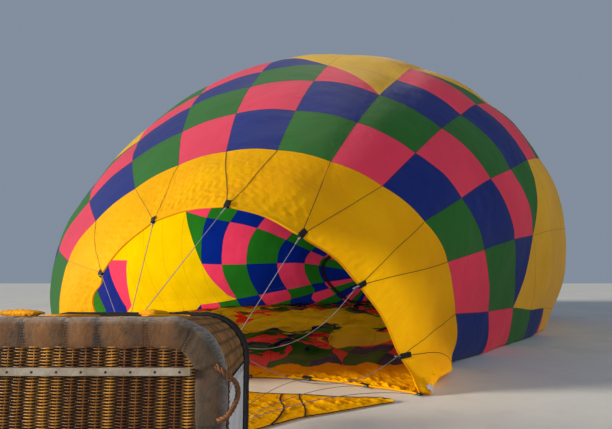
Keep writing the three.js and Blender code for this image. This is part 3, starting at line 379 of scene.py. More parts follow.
class Graph:
    """Nodes of one material, with short ways to write its patterns."""

    def __init__(self, name: str) -> None:
        """Makes an empty material of that name."""
        self.material = bpy.data.materials.new(name)
        self.material.use_nodes = True
        self.tree = self.material.node_tree
        self.tree.nodes.clear()

    def add(self, kind: str, inputs: dict[Union[int, str], Operand], output: Union[int, str] = 0,
            **settings: object) -> Signal:
        """Adds a node, sets or links its inputs, and returns one output."""
        node = self.tree.nodes.new(kind)
        for name, value in settings.items():
            setattr(node, name, value)
        for name, value in inputs.items():
            self.feed(value, node.inputs[name])
        return Signal(self, node.outputs[output])

    def feed(self, value: Operand, socket: bpy.types.NodeSocket) -> None:
        """Links a signal to a socket, or sets a plain value on it."""
        if isinstance(value, Signal):
            self.tree.links.new(value.socket, socket)
        elif isinstance(value, tuple) and len(value) == 3 and len(socket.default_value) == 4:
            socket.default_value = (*value, 1.0)
        else:
            socket.default_value = value

    def math(self, operation: str, *values: Operand) -> Signal:
        """Math node."""
        return self.add("ShaderNodeMath", dict(enumerate(values)), operation=operation)

    def place(self, stretch: tuple = (1.0, 1.0, 1.0)) -> Signal:
        """Object coordinates, stretched."""
        source = self.add("ShaderNodeTexCoord", {}, "Object")
        return self.add("ShaderNodeMapping", {"Vector": source, "Scale": stretch})

    def pattern(self, axis: str) -> Signal:
        """One of the piece's own pattern coordinates, X or Y."""
        source = self.add("ShaderNodeUVMap", {}, uv_map="Pattern")
        return self.add("ShaderNodeSeparateXYZ", {0: source}, axis)

    def tag(self, name: str) -> Signal:
        """Named number that the mesh carries."""
        return self.add("ShaderNodeAttribute", {}, "Fac", attribute_name=name)

    def noise(self, place: Signal, scale: float, detail: float = 3.0, rough: float = 0.5) -> Signal:
        """Cloudy pattern from 0 to 1."""
        return self.add("ShaderNodeTexNoise", {
            "Vector": place, "Scale": scale, "Detail": detail, "Roughness": rough})

    def cells(self, place: Signal, scale: float) -> Signal:
        """Distance to the nearest of scattered points."""
        return self.add("ShaderNodeTexVoronoi", {"Vector": place, "Scale": scale})

    def crossed(self, place: Signal, scale: float, distort: float = 0.0) -> Signal:
        """Mean of even lines across the X and the Z axis, from 0 to 1."""
        return self.lines(place, scale, "X", distort) * 0.5 + self.lines(place, scale, "Z", distort) * 0.5

    def lines(self, place: Signal, scale: float, axis: str, distort: float = 0.0) -> Signal:
        """Even lines across an axis, from 0 to 1."""
        return self.add("ShaderNodeTexWave", {"Vector": place, "Scale": scale, "Distortion": distort}, "Fac",
                        bands_direction=axis)

    def mix(self, share: Operand, low: Operand, high: Operand) -> Signal:
        """Blend of two colours by a share."""
        node = self.tree.nodes.new("ShaderNodeMix")
        node.data_type = "RGBA"
        # sockets 6 and 7 and output 2 are the node's colours
        for socket, value in zip((node.inputs[0], node.inputs[6], node.inputs[7]), (share, low, high)):
            self.feed(value, socket)
        return Signal(self, node.outputs[2])

    def bump(self, height: Signal, distance: float, strength: float = 1.0) -> Signal:
        """Surface relief whose depth is the distance at a height of 1."""
        return self.add("ShaderNodeBump", {
            "Height": height, "Distance": distance, "Strength": strength}, "Normal")

    def surface(self, colour: Operand, roughness: Operand, normal: Signal, metal: float = 0.0,
                sheen: float = 0.0, specular: float = 0.4, glow: float = 0.0) -> bpy.types.Material:
        """Ends the material in a principled shader.

        Args:
            colour: Base colour.
            roughness: Roughness.
            normal: Relief.
            metal: 1 for bare metal.
            sheen: Soft fuzz at grazing angles.
            specular: Strength of the plain reflection.
            glow: Share of the light from behind that thin cloth lets through.

        Returns:
            The finished material.
        """
        shader = self.add("ShaderNodeBsdfPrincipled", {
            "Base Color": colour, "Roughness": roughness, "Metallic": metal, "Sheen Weight": sheen,
            "Specular IOR Level": specular, "Normal": normal})
        if glow > 0:
            through = self.add("ShaderNodeBsdfTranslucent", {"Color": colour, "Normal": normal})
            shader = self.add("ShaderNodeMixShader", {0: glow, 1: shader, 2: through})
        output = self.tree.nodes.new("ShaderNodeOutputMaterial")
        self.feed(shader, output.inputs[0])
        return self.material


class Grain(Enum):
    """Fine pattern of a surface."""

    CLOTH = "crossed threads"
    PEBBLE = "grained leather"
    FIBRE = "long wood fibres"
    BRUSHED = "fine drawn lines"
    TWIST = "twisted strands"
    SMOOTH = "smooth casting"


@dataclass(frozen=True)
class Finish:
    """General finish with worn patches and a fine grain.

    Attributes:
        name: Name of the material.
        colour: Main colour.
        worn: Colour of the worn or stained patches.
        grain: Kind of fine pattern.
        roughness: Mean roughness.
        patch: Patches per metre.
        fine: Grain marks per metre.
        depth: Depth of the grain.
        metal: 1 for bare metal.
        wear: Share of the surface that the patches take.
    """

    name: str
    colour: Colour
    worn: Colour
    grain: Grain
    roughness: float
    patch: float
    fine: float
    depth: float = 0.0008
    metal: float = 0.0
    wear: float = 0.4

    def height(self, graph: Graph, place: Signal) -> Signal:
        """Height of the fine grain, from 0 to 1."""
        if self.grain is Grain.CLOTH:
            return graph.crossed(place, self.fine)
        if self.grain is Grain.PEBBLE:
            return graph.cells(place, self.fine) + graph.noise(place, self.fine * 0.25, 4.0) * 0.8
        if self.grain is Grain.FIBRE:
            return graph.noise(graph.place((1.0, 14.0, 14.0)), self.fine * 0.12, 5.0, 0.65)
        if self.grain is Grain.BRUSHED:
            return graph.noise(graph.place((1.0, 30.0, 30.0)), self.fine * 0.1, 2.0)
        if self.grain is Grain.TWIST:
            turn = (graph.pattern("X") * 3.0 + graph.pattern("Y") * self.fine).apply("FRACT")
            return (turn * math.pi).apply("SINE")
        return graph.noise(place, self.fine, 3.0)

    def material(self) -> bpy.types.Material:
        """Builds the material."""
        graph = Graph(self.name)
        place = graph.place()
        cloud = graph.noise(place, self.patch, 5.0, 0.6)
        share = cloud.between(0.62 - self.wear * 0.5, 0.92 - self.wear * 0.5)
        speck = graph.noise(place, self.fine * 0.3, 3.0)
        height = self.height(graph, place)
        base = graph.mix(share, self.colour, self.worn)
        # painted shade: the low parts of the grain are darkened; the specks add random darker tone
        dark = tuple(0.55 * value for value in self.colour)
        base = graph.mix(height.between(0.45, 0.0) * 0.45 + speck.between(0.5, 0.85) * 0.3, base, dark)
        rough = graph.add("ShaderNodeMapRange", {
            "Value": speck, "To Min": self.roughness - 0.12, "To Max": min(self.roughness + 0.14, 1.0)})
        return graph.surface(base, rough, graph.bump(height, self.depth), self.metal)


@dataclass(frozen=True)
class PanelCloth:
    """Thin coated cloth of the gores: a chequer of pink, green and blue panels round a stepped yellow belt.

    The pattern coordinates are the seam number and the row number. Colour number = (row - column + 1 + past)
    mod 3, where past is 1 beyond the belt. The belt lies between two limits that rise or fall by one row
    across each column and repeat every four columns.
    """

    name: str = "gore_cloth"
    pink: Colour = paint(250, 68, 112)
    green: Colour = paint(34, 124, 36)
    blue: Colour = paint(0, 40, 150)
    yellow: Colour = paint(250, 210, 0)
    ground_light_yellow: Colour = paint(222, 226, 40)
    tape: Colour = paint(38, 28, 30)
    glow: float = 0.55
    roughness: float = 0.55

    def material(self) -> bpy.types.Material:
        """Builds the material."""
        graph = Graph(self.name)
        across, along = graph.pattern("X"), graph.pattern("Y")
        column = across.apply("FLOOR") + 1.0
        share = across.apply("FRACT")
        row = along.apply("FLOOR") + 1.0
        beat = column.remainder(4.0)
        # 1 for the first two columns of a group and -1 for the last two
        rising = 1.0 - beat.above(1.5) * 2.0
        lower = (beat * (math.pi / 2)).apply("SINE") + 4.0 + rising * share
        swing = (beat + 1.0).remainder(4.0).above(1.5) * 2.0 - 1.0
        upper = swing * 1.5 + rising * 0.5 + 9.0 - swing * share
        past = along.above(upper)
        number = (row - column + 1.0 + past).remainder(3.0)
        colour = graph.mix(number.above(0.5), self.pink, self.green)
        colour = graph.mix(number.above(1.5), colour, self.blue)
        # painted light: the yellow that lies on the ground is tinted paler and greener, standing in for the
        # cool light that reaches it there
        yellow = graph.mix(graph.tag("lying") * 0.7, self.yellow, self.ground_light_yellow)
        colour = graph.mix(along.above(lower) * (1.0 - past), colour, yellow)
        place = graph.place()
        fade = graph.noise(place, 0.9, 4.0, 0.6)
        colour = graph.add("ShaderNodeHueSaturation", {
            "Color": colour, "Value": fade.between(0.25, 0.8) * 0.22 + 0.89}, "Color")
        gap = graph.tag("seam_gap")
        colour = graph.mix(gap.below(0.008) * 0.35, colour, self.tape)
        stitch = (along.apply("FRACT") - 0.5).apply("ABSOLUTE").above(0.4935)
        colour = graph.mix(stitch * 0.48, colour, self.tape)
        # dark ring round the vent, just past the last row: tape, with painted shade of the gap between vent
        # and crown
        ring = (along - 15.09).apply("ABSOLUTE").below(0.034)
        colour = graph.mix(ring * 0.9, colour, self.tape)
        soft = graph.noise(place, 1.6, 3.0, 0.5)
        pucker = graph.noise(place, 9.0, 3.0, 0.6) * gap.between(0.30, 0.0)
        normal = graph.bump(soft + pucker * 0.35, 0.04, 0.7)
        return graph.surface(colour, self.roughness, normal, glow=self.glow, specular=0.10, sheen=0.25)


@dataclass(frozen=True)
class BandCloth:
    """Heat-proof yellow cloth of the mouth band, scoop and ties."""

    name: str = "band_cloth"
    colour: Colour = paint(252, 194, 0)
    deep: Colour = paint(244, 178, 0)
    glow: float = 0.38

    def material(self) -> bpy.types.Material:
        """Builds the material."""
        graph = Graph(self.name)
        place = graph.place()
        cloud = graph.noise(place, 1.1, 4.0, 0.6)
        colour = graph.mix(cloud.between(0.35, 0.7), self.colour, self.deep)
        crumple = graph.noise(place, 5.0, 5.0, 0.6)
        fine = graph.lines(place, 130.0, "X")
        normal = graph.bump(crumple + fine * 0.02, 0.04, 0.7)
        return graph.surface(colour, 0.55, normal, glow=self.glow, specular=0.08)


@dataclass(frozen=True)
class Cane:
    """Willow or cane strands; each strand has its own tone, and painted shade darkens the valleys where a
    strand dives behind a stake.
    """

    name: str
    pale: Colour
    dark: Colour
    roughness: float

    def material(self) -> bpy.types.Material:
        """Builds the material."""
        graph = Graph(self.name)
        place = graph.place()
        own = graph.tag("strand")
        streak = graph.noise(graph.place((6.0, 1.0, 30.0)), 12.0, 4.0, 0.65)
        colour = graph.mix(own * 0.65 + streak.between(0.35, 0.75) * 0.35, self.pale, self.dark)
        colour = graph.mix(graph.noise(place, 7.0, 3.0).between(0.52, 0.8) * 0.5, colour, self.dark)
        # painted shade: the valleys where a strand passes behind a stake are darkened nearly to black
        colour = graph.mix(graph.tag("valley") * 0.95, colour, tuple(0.14 * value for value in self.dark))
        return graph.surface(colour, self.roughness, graph.bump(streak, 0.0012, 0.8))


@dataclass(frozen=True)
class HideLeather:
    """Worn brown hide that is sewn round the edge of the basket's floor in sections."""

    name: str = "sewn_hide"
    brown: Colour = paint(106, 61, 15)
    pale: Colour = paint(156, 100, 34)
    dark: Colour = paint(34, 26, 20)
    right_end_dark: Colour = paint(44, 38, 27)
    wear_and_highlight: Colour = paint(150, 144, 138)

    def material(self) -> bpy.types.Material:
        """Builds the material."""
        graph = Graph(self.name)
        place = graph.place()
        seam = graph.tag("seam_gap")
        edge = graph.tag("edge")
        cloud = graph.noise(place, 5.5, 5.0, 0.65)
        stain = graph.noise(place, 11.0, 5.0, 0.7)
        streaks = graph.noise(graph.place((3.0, 3.0, 26.0)), 14.0, 4.0, 0.7)
        colour = graph.mix(cloud.between(0.38, 0.66), self.brown, self.pale)
        # the right end is drawn darker, mottled by the cloud noise
        right = graph.add("ShaderNodeSeparateXYZ", {0: place}, "X").between(-1.62, -1.42)
        colour = graph.mix(right * (cloud.between(0.3, 0.6) * 0.36 + 0.56), colour, self.right_end_dark)
        weave = graph.crossed(place, 90.0, 2.0)
        colour = graph.mix(weave.between(0.6, 0.1) * 0.5, colour, self.dark)
        colour = graph.mix(stain.between(0.52, 0.66) * 0.8, colour, self.dark)
        soiled = graph.noise(place, 2.6, 2.0).between(0.40, 0.58)
        colour = graph.mix(seam.between(0.10, 0.0) * stain.between(0.30, 0.50) * soiled, colour, self.dark)
        colour = graph.mix(seam.below(0.0035) * 0.7, colour, self.dark)
        # the outer edge of the nose is paler: partly wear, partly a painted highlight
        colour = graph.mix(edge.between(0.45, 1.0) * streaks.between(0.3, 0.65) * 0.75, colour, self.wear_and_highlight)
        colour = graph.mix(streaks.between(0.62, 0.8) * 0.5, colour, self.pale)
        grain = graph.cells(place, 420.0) * 0.4 + graph.noise(place, 60.0, 4.0)
        grain = grain + graph.noise(place, 14.0, 3.0) * 2.0
        return graph.surface(colour, 0.72, graph.bump(grain, 0.0022, 0.9), sheen=0.2)


def make_finishes() -> SimpleNamespace:
    """Builds every finish of the balloon once; each is known by a short name."""
    cloth, pebble, fibre, brushed, twist, smooth = Grain
    # material, main and worn colour, grain, roughness, patches and marks per metre, depth, metal, wear
    plain = {
        "webbing": ("load_webbing", (18, 16, 16), (40, 36, 32), cloth, 0.85, 9, 260),
        "tape": ("band_tape", (108, 76, 14), (70, 50, 16), cloth, 0.85, 9, 260),
        # paler copy of the band tape for the sunlit side: painted light
        "faded": ("lit_band_tape", (196, 140, 12), (158, 110, 14), cloth, 0.85, 9, 260),
        "thread": ("waxed_thread", (88, 64, 42), (52, 38, 28), twist, 0.8, 20, 400),
        "timber": ("weathered_timber", (172, 160, 144), (120, 100, 78), fibre, 0.75, 9, 300, 0.0012, 0, 0.5),
        "screw": ("dark_screw", (40, 36, 34), (88, 66, 48), smooth, 0.5, 60, 500, 0.0002, 0.6),
        "padding": ("black_padding", (4, 4, 5), (13, 13, 15), pebble, 0.66, 7, 240, 0.0009),
        "panel": ("pale_panel", (226, 226, 226), (196, 196, 198), cloth, 0.55, 4, 320, 0.0004),
        "rope": ("handle_rope", (122, 74, 36), (82, 48, 24), twist, 0.75, 14, 45, 0.0016),
        "steel": ("brushed_steel", (176, 178, 182), (132, 132, 134), brushed, 0.34, 5, 320, 0.0003, 1),
        "cable": ("stranded_cable", (158, 160, 164), (112, 114, 118), brushed, 0.45, 12, 600, 0.0003, 0.7),
        "brass": ("burner_brass", (188, 152, 84), (128, 92, 48), smooth, 0.34, 10, 260, 0.0003, 1),
        "copper": ("coil_copper", (166, 106, 72), (96, 66, 58), smooth, 0.36, 14, 220, 0.0002, 1),
        "tank": ("tank_metal", (182, 184, 188), (140, 142, 148), brushed, 0.4, 4, 240, 0.0003, 0.9),
        "sleeve": ("upright_sleeve", (84, 54, 34), (52, 34, 22), pebble, 0.72, 8, 220),
        "lever": ("lever_grip", (172, 22, 26), (116, 12, 18), smooth, 0.4, 12, 260, 0.0002),
    }
    # material, pale and dark colour, roughness
    canes = {
        "weaver": ("cane_weaver", (240, 170, 66), (104, 56, 20), 0.34),
        "withy": ("wall_withy", (168, 116, 56), (80, 48, 20), 0.42),
        "stake": ("cane_stake", (104, 64, 28), (52, 30, 14), 0.42),
        "liner": ("cane_shadow", (52, 32, 15), (30, 18, 9), 0.8),
    }
    made = {}
    for kind, table in ((Finish, plain), (Cane, canes)):
        for short, (name, first, second, *rest) in table.items():
            made[short] = kind(name, paint(*first), paint(*second), *rest).material()
    return SimpleNamespace(
        gores=PanelCloth().material(), band=BandCloth().material(), hide=HideLeather().material(),
        tie=BandCloth("tie_cloth", paint(244, 176, 10), paint(214, 128, 4), 0.15).material(), **made)


@dataclass(frozen=True)
class Site:
    """Moves site points, measured from the ground under the camera, into the frame's axes."""

    shift: Array

    @staticmethod
    def found() -> "Site":
        """Finds the move from the basket floor, which stands at x -1.120 and y 2.102 on the site."""
        low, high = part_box("basket_floor")
        return Site(np.array([(low.x + high.x) / 2 + 1.120, low.y - 2.102, 0.0]))

    def move(self, points: Array) -> Array:
        """The same points in the frame's axes."""
        return np.asarray(points, float) + self.shift


@dataclass
class Part:
    """Sub-assembly: where it stands and the finishes that it takes."""

    site: Site
    finishes: SimpleNamespace


@dataclass
class Envelope(Part):
    """Shape of the half-filled envelope, and its gores, mouth band, vent and tapes.

    A point of the fabric is a function of a row number, 0 at the band to 15 at the crown opening, and a seam
    number from 0 to 24. The section at a row is half an oval above its middle and a wider, flat belly below,
    pressed to the ground by z = (free + sqrt(free^2 + blend^2)) / 2.
    """

    mouth: tuple[float, float] = (-0.640, 6.490)
    turn: float = math.radians(22.4)
    crown_row: float = 17.2
    rows: int = 15
    bulge: float = 0.006
    blend: float = 0.060
    fold: float = 0.060
    split: int = 11
    crown: tuple[float, float, float] = (17.0, -2.7, 1.4)
    dish: float = 0.6
    vent_inset: float = 0.0162
    tape_width: float = 0.009
    tape_thick: float = 0.004
    sections: Array = field(default_factory=lambda: np.array([
        # row, along, half width, rise, middle height, sway
        [0, 0.00, 2.40, 1.45, 1.47, 0.00],
        [1, 1.00, 3.20, 2.10, 1.65, -0.35],
        [2, 2.05, 3.95, 2.75, 1.85, -0.65],
        [3, 3.10, 4.65, 3.40, 1.95, -0.95],
        [4, 4.20, 5.30, 4.00, 2.10, -1.20],
        [6, 6.55, 6.30, 4.90, 2.25, -1.70],
        [8, 9.05, 6.75, 5.15, 2.35, -2.10],
        [10, 11.60, 6.55, 4.65, 2.30, -2.35],
        [12, 13.90, 5.50, 3.40, 2.20, -2.60],
        [14, 15.75, 3.75, 1.85, 1.95, -2.70],
        [15, 16.40, 2.65, 1.10, 1.80, -2.70],
    ]))
    attachments: Array = field(default_factory=lambda: np.array([
        [-2.290, 5.300, 1.380], [-1.650, 5.050, 1.950], [-0.760, 4.460, 2.030], [-0.050, 4.390, 1.740],
        [0.550, 4.850, 1.270], [1.060, 5.430, 0.470], [1.300, 5.600, 0.025], [0.750, 6.000, 0.025],
        [0.050, 6.400, 0.025], [-0.750, 6.550, 0.025], [-1.500, 6.350, 0.060], [-2.150, 5.900, 0.480],
    ]))

    def section(self, row: Array) -> Array:
        """Along, half width, rise, height and sway at a row: Hermite curves through the table."""
        number, values = self.sections[:, 0], self.sections[:, 1:]
        last = len(number) - 1
        low = np.maximum(np.arange(last + 1) - 1, 0)
        high = np.minimum(np.arange(last + 1) + 1, last)
        slope = (values[high] - values[low]) / (number[high] - number[low])[:, None]
        i = np.clip(np.searchsorted(number, row, side="left") - 1, 0, last - 1)
        step = (number[i + 1] - number[i])[..., None]
        s = (row[..., None] - number[i][..., None]) / step
        return ((2 * s**3 - 3 * s**2 + 1) * values[i] + (s**3 - 2 * s**2 + s) * step * slope[i]
                + (3 * s**2 - 2 * s**3) * values[i + 1] + (s**3 - s**2) * step * slope[i + 1])

    @staticmethod
    def seam_angle(seam: Array) -> Array:
        """Angle round the section of a seam number; seams 13 to 24 share the ground evenly."""
        def in_air(k: Array) -> Array:
            """Degrees of a seam above the ground, spaced as the photograph shows them."""
            turn = math.pi * (k - 1) / 12
            return 176.5 - 20.4 * (k - 1) + 4 * np.sin(turn) - 7.5 * np.sin(2 * turn)

        last, first = in_air(np.array(13.0)), in_air(np.array(0.0)) - 360
        share = (seam - 13) / (GORES - 13)
        return np.radians(np.where(seam <= 13, in_air(seam), last + (first - last) * share))

    def place(self, along: Number, sideways: Number, height: Number) -> Array:
        """Point in the envelope's own axes, turned and moved to its place on the ground."""
        x = self.mouth[0] + along * math.sin(self.turn) + sideways * math.cos(self.turn)
        y = self.mouth[1] + along * math.cos(self.turn) - sideways * math.sin(self.turn)
        return self.site.move(stacked(x, y, height))

    @staticmethod
    def free_height(s: Array, width: Array, rise: Array, middle: Array) -> Array:
        """Height before the ground presses the belly flat; s is the sine of the angle round the section."""
        return middle + np.where(s > 0, rise, 0.85 * width) * s

    def point(self, row: Number, seam: Number) -> Array:
        """Point of the fabric at a row and a seam number."""
        row, seam = np.broadcast_arrays(np.asarray(row, float), np.asarray(seam, float))
        angle = self.seam_angle(seam)
        c, s = np.cos(angle), np.sin(angle)
        swell = 1 + self.bulge * np.abs(np.sin(math.pi * seam))
        share = row / self.crown_row
        along, width, rise, middle, sway = np.moveaxis(self.section(row), -1, 0)
        width, rise = width * swell, rise * swell
        curl = np.minimum(-0.6 + 1.7 * share, 0.45)
        sideways = sway + width * c * np.where(s < 0, 1 - curl * s * s, 1)
        lean = width * (1 - share) ** 2 * (0.44 * c - 0.33 * s - 0.24 * np.sin(2 * angle))
        free = self.free_height(s, width, rise, middle)
        sunk = np.clip(-free / 0.4, 0, 1)
        fold = self.fold * sunk * (1 - smoothstep(10, 13.5, row)) * np.sin(math.pi * seam) ** 2
        height = (free + np.hypot(free, self.blend)) / 2 + fold
        return self.place(along + lean, sideways, height)

    def grounded(self, row: Array, seam: Array) -> Array:
        """How fully the fabric lies on the ground, 0 to 1."""
        _, width, rise, middle, _ = np.moveaxis(self.section(row), -1, 0)
        return smoothstep(0.15, 1.3, -self.free_height(np.sin(self.seam_angle(seam)), width, rise, middle))

    @staticmethod
    def crumple(points: Array, amount: Array, seed: int) -> Array:
        """Folds the slack fabric on the ground.

        Each fold is a wave of height (1 - |sin(phase)|)^1.5, a sharp crest between round valleys. A slow
        unevenness bends its phase, and the crest is pushed over by a share of the wave's length.

        Args:
            points: Places of the fabric.
            amount: Share of the full folds at each place.
            seed: Seed of the directions and phases.

        Returns:
            The folded places.
        """
        random = np.random.default_rng(seed)
        out = points.copy()
        # length and height of each set of folds
        folds = ((2.6, 0.085), (1.7, 0.075), (1.1, 0.065), (0.75, 0.05), (0.5, 0.036), (0.34, 0.026),
                 (0.23, 0.017))
        for n, (length, height) in enumerate(folds):
            heading = random.normal(math.pi / 2, 0.55)
            direction = np.array([math.cos(heading), math.sin(heading)])
            bend = 1.5 * ripple(points, length * 2.2, seed + 31 * n, 7)
            angle = (points[..., :2] @ direction) * math.pi / length + bend + random.uniform(0, math.pi)
            patchy = smoothstep(-0.5, 0.5, ripple(points, 2.4 * length, seed + 77 * n, 7))
            crest = (1 - np.abs(np.sin(angle))) ** 1.5
            reach = amount * (0.35 + 0.65 * patchy)
            out[..., 2] += reach * height * crest
            out[..., :2] -= (reach * height * 0.9 * np.sin(2 * angle))[..., None] * direction
        crease = 0.5 + 0.7 * ripple(points * np.array([0.3, 1.0, 1.0]), 0.26, seed + 5, 12, True)
        out[..., 2] += amount * 0.024 * np.clip(crease, 0, 1.2)
        least_height = 0.012
        out[..., 2] = np.maximum(out[..., 2] - amount * 0.03, least_height)
        return out

    @staticmethod
    def pattern(row: Array, seam: Array) -> Array:
        """Pattern coordinates of the fabric, its seam and row numbers.

        On the low left wall the slack fabric has slid: there the seams lie up to 0.34 of a gore lower and the
        rows up to 1.4 rows deeper, fading out with smooth steps towards the mouth, the crown and the top.
        """
        near = np.where(seam > GORES / 2, seam - GORES, seam)
        high = np.clip(near - 0.65, 0, 1.5)
        hill = smoothstep(-1.6, 0.3, near) * (1 - smoothstep(1.6, 3.0, near))
        fade = 1 - smoothstep(11 - 1.7 * high, 17 - 2.6 * high, row)
        across = 0.34 * hill * smoothstep(3, 6, row) * fade * (1 - smoothstep(13.6, 14.8, row))
        depth = np.clip(1.42 - 0.75 * (near + 0.05), 0, 1.42) * smoothstep(-1.6, -0.2, near)
        along = depth * smoothstep(2.2, 5.4, row) * (1 - smoothstep(6.2, 12, row))
        # the rows near the crown are drawn in by the crown line
        wall = smoothstep(-1.6, -0.6, near) * (1 - smoothstep(4.5, 7.5, near))
        along = along + 0.45 * wall * smoothstep(11, 14.4, row) * (1 - smoothstep(14.4, 15, row))
        return np.stack([seam + across, row - along], -1)

    def gores(self, first: int, last: int, row_steps: int, gore_steps: int) -> Patch:
        """Gores between two seams, from the band to the crown opening, as one fine grid.

        Args:
            first: First seam.
            last: Last seam.
            row_steps: Faces along each row.
            gore_steps: Faces across each gore.

        Returns:
            The patch.
        """
        row = np.linspace(0, self.rows, self.rows * row_steps + 1)[:, None]
        seam = np.linspace(first, last, (last - first) * gore_steps + 1)[None, :]
        row, seam = np.broadcast_arrays(row, seam)
        points = self.point(row, seam)
        gore = np.linalg.norm(self.point(row, seam + 0.02) - self.point(row, seam - 0.02), axis=-1) / 0.04
        uv = self.pattern(row, seam)
        gap = np.abs(uv[..., 0] - np.round(uv[..., 0])) * gore
        ground = self.grounded(row, seam) * smoothstep(self.split, self.split + 0.8, seam)
        ground = ground * smoothstep(GORES, GORES - 0.7, seam)
        loose = smoothstep(0, 1.2, row) * (1 - smoothstep(13.5, 15, row))
        rough = 0.018 * ripple(points, 1.6, 5) + 0.004 * ripple(points, 0.35, 6)
        points = points + self.outward(points) * (loose * (1 - ground) * rough)[..., None]
        free = ground * smoothstep(0.0, 0.8, row) * (1 - smoothstep(12.6, 14.0, row))
        # slack cloth slides over itself in long thin folds, but lies straight beside the right wall
        x, y = (points[..., n] - self.site.shift[n] for n in (0, 1))
        calm = smoothstep(0.40, 0.62, x) * (1 - smoothstep(10.0, 11.5, y))
        streak = points * np.array([0.26, 1.0, 1.0])
        heap = np.exp(-((x + 0.05) / 0.50) ** 2 - ((y - 8.4) / 1.2) ** 2)
        knot = ripple(points * np.array([0.5, 1.0, 1.0]), 0.30, 74, 12, True)
        hidden = 0.50 * ripple(streak, 0.6, 71) + 0.45 * ripple(streak, 0.22, 72, 12, True)
        hidden = (hidden + 0.9 * heap * knot) * (1 - calm)
        slid = 2.0 * (1 - smoothstep(-0.2, 0.6, x)) * smoothstep(7.3, 9.3, y) * (1 - smoothstep(13, 17, y))
        beside = calm * smoothstep(12.5, 12.7, seam) * (seam < 18) * (1 - smoothstep(4, 8, row))
        uv[..., 0] += free * smoothstep(13, 14, seam) * (1 - calm) * 0.6 * ripple(streak, 0.8, 73)
        uv[..., 0] -= 0.3 * beside
        uv[..., 1] += free * (hidden + slid) + beside * (1.0 + 0.28 * np.minimum(row, 2.0))
        folds = free * (1 + 0.7 * heap) * (1 - 0.6 * calm)
        return grid_patch(self.crumple(points, folds, 11), uv, flip=True, seam_gap=gap, lying=ground)

    @staticmethod
    def outward(points: Array) -> Array:
        """Unit directions away from the air inside, from neighbouring grid points."""
        return unit(np.cross(np.gradient(points, axis=0), np.gradient(points, axis=1)))

    def rim(self, seam: Array) -> Array:
        """Point of the mouth rim: a Catmull-Rom curve through the attachments, scalloped between them."""
        points = self.site.move(self.attachments)
        step = np.mod((seam - 1.5) / 2, 12)
        i = np.floor(step).astype(int)
        s = (step - i)[..., None]
        before, start, end, after = (points[(i + n) % 12] for n in (11, 0, 1, 2))
        curve = span(before, start, end, after, s)
        curve = curve + (start + (end - start) * s - curve) * 0.6
        # the low left side of the rim hangs slack and falls back towards the gores
        scallop = np.where(i == 11, 0.36, 0.03)[..., None] * np.sin(math.pi * s) ** 2
        curve = curve + (self.point(np.zeros_like(seam), seam) - curve) * scallop
        curve[..., 2] = np.maximum(curve[..., 2], 0.022)
        return curve

    def band_point(self, share: Array, seam: Array) -> Array:
        """Point of the mouth band, from the rim at share 0 to the gores at share 1, with its wrinkles."""
        share, seam = np.broadcast_arrays(np.asarray(share, float), np.asarray(seam, float))
        inner, outer = self.rim(seam), self.point(np.zeros_like(seam), seam)
        points = inner + (outer - inner) * share[..., None]
        inside = np.clip(share, 0, 1)
        # the low right side hangs out in a pouch that reaches the ground, and again at its corner
        # reach, power of the share, seam number, width in seams, heading
        pouches = ((0.30, 0.8, 12.2, 0.60, (1.0, 0.0, -0.15)), (0.26, 0.5, 13.1, 0.55, (0.90, -0.40, -0.30)))
        for reach, power, middle, width, heading in pouches:
            pouch = reach * np.sin(math.pi * inside**power) * np.exp(-((seam - middle) / width) ** 2)
            points = points + pouch[..., None] * np.array(heading)
        points[..., 2] = np.maximum(points[..., 2], 0.014)
        air = smoothstep(0.06, 0.5, points[..., 2])
        arch = np.sin(math.pi * inside)
        between = np.abs(np.sin(math.pi * (seam - 1.5) / 2))
        away = unit(points - self.place(0.0, 0.0, 1.2))
        slack = arch * between * 0.030 + 0.026 * arch * ripple(points, 0.9, 21)
        crinkle = 0.009 * np.sqrt(arch) * ripple(points, 0.15, 22, 12, True)
        near_rim = 1 - smoothstep(0.05, 0.45, share)
        sunny = 1 - smoothstep(4.5, 8, seam)
        move = air * (slack + crinkle * (0.35 + 0.6 * sunny + 1.5 * near_rim))
        lifted = points + away * move[..., None]
        lying = (1 - air) * (0.35 + 0.65 * near_rim) * smoothstep(0, 0.04, share)
        rough = 0.5 + 0.6 * ripple(points, 0.26, 23, 12, True) + 0.35 * ripple(points, 0.11, 24, 12, True)
        lifted[..., 2] += lying * np.clip(rough, 0, 1.3) * 0.095
        return lifted

    def band(self) -> Patch:
        """Mouth band as one grid."""
        share = np.linspace(0, 1, 49)[:, None]
        seam = np.linspace(0, GORES, GORES * 32 + 1)[None, :]
        seam = np.where(seam >= GORES, 0, seam)
        return grid_patch(self.band_point(share, seam), flip=True)

    def ribbon(self, start: float, end: float) -> Patch:
        """Flat tape on the band: the surface points nearest to a straight line from the rim to the gores.

        Args:
            start: Seam number at the rim.
            end: Seam number at the gores.

        Returns:
            The patch.
        """
        steps = 90
        share = np.linspace(0.0, 0.995, steps)[:, None]
        seam = np.linspace(min(start, end) - 0.3, max(start, end) + 0.3, steps)[None, :]
        surface = self.band_point(share, seam)
        normal = self.outward(surface)
        ends = self.rim(np.array([start]))[0], self.point(0.0, end)
        chord = ends[0] + (ends[1] - ends[0]) * np.linspace(0.01, 0.99, 28)[:, None]
        apart = np.linalg.norm(surface[None] - chord[:, None, None], axis=-1).reshape(len(chord), -1)
        nearest = apart.argmin(1)
        track = np.stack([share[nearest // steps, 0], seam[0, nearest % steps]], -1)
        up = normal.reshape(-1, 3)[nearest]
        for _ in range(12):
            track[1:-1] = (track[:-2] + 2 * track[1:-1] + track[2:]) / 4
        line = self.band_point(track[:, 0], track[:, 1])
        inside = self.place(1.5, 0.0, 1.2)
        up = np.where(((line - inside) * up).sum(-1, keepdims=True) > 0, up, -up)
        return rods(line + up * 0.004, up, self.tape_thick / 2, 6, flat=self.tape_width / self.tape_thick)

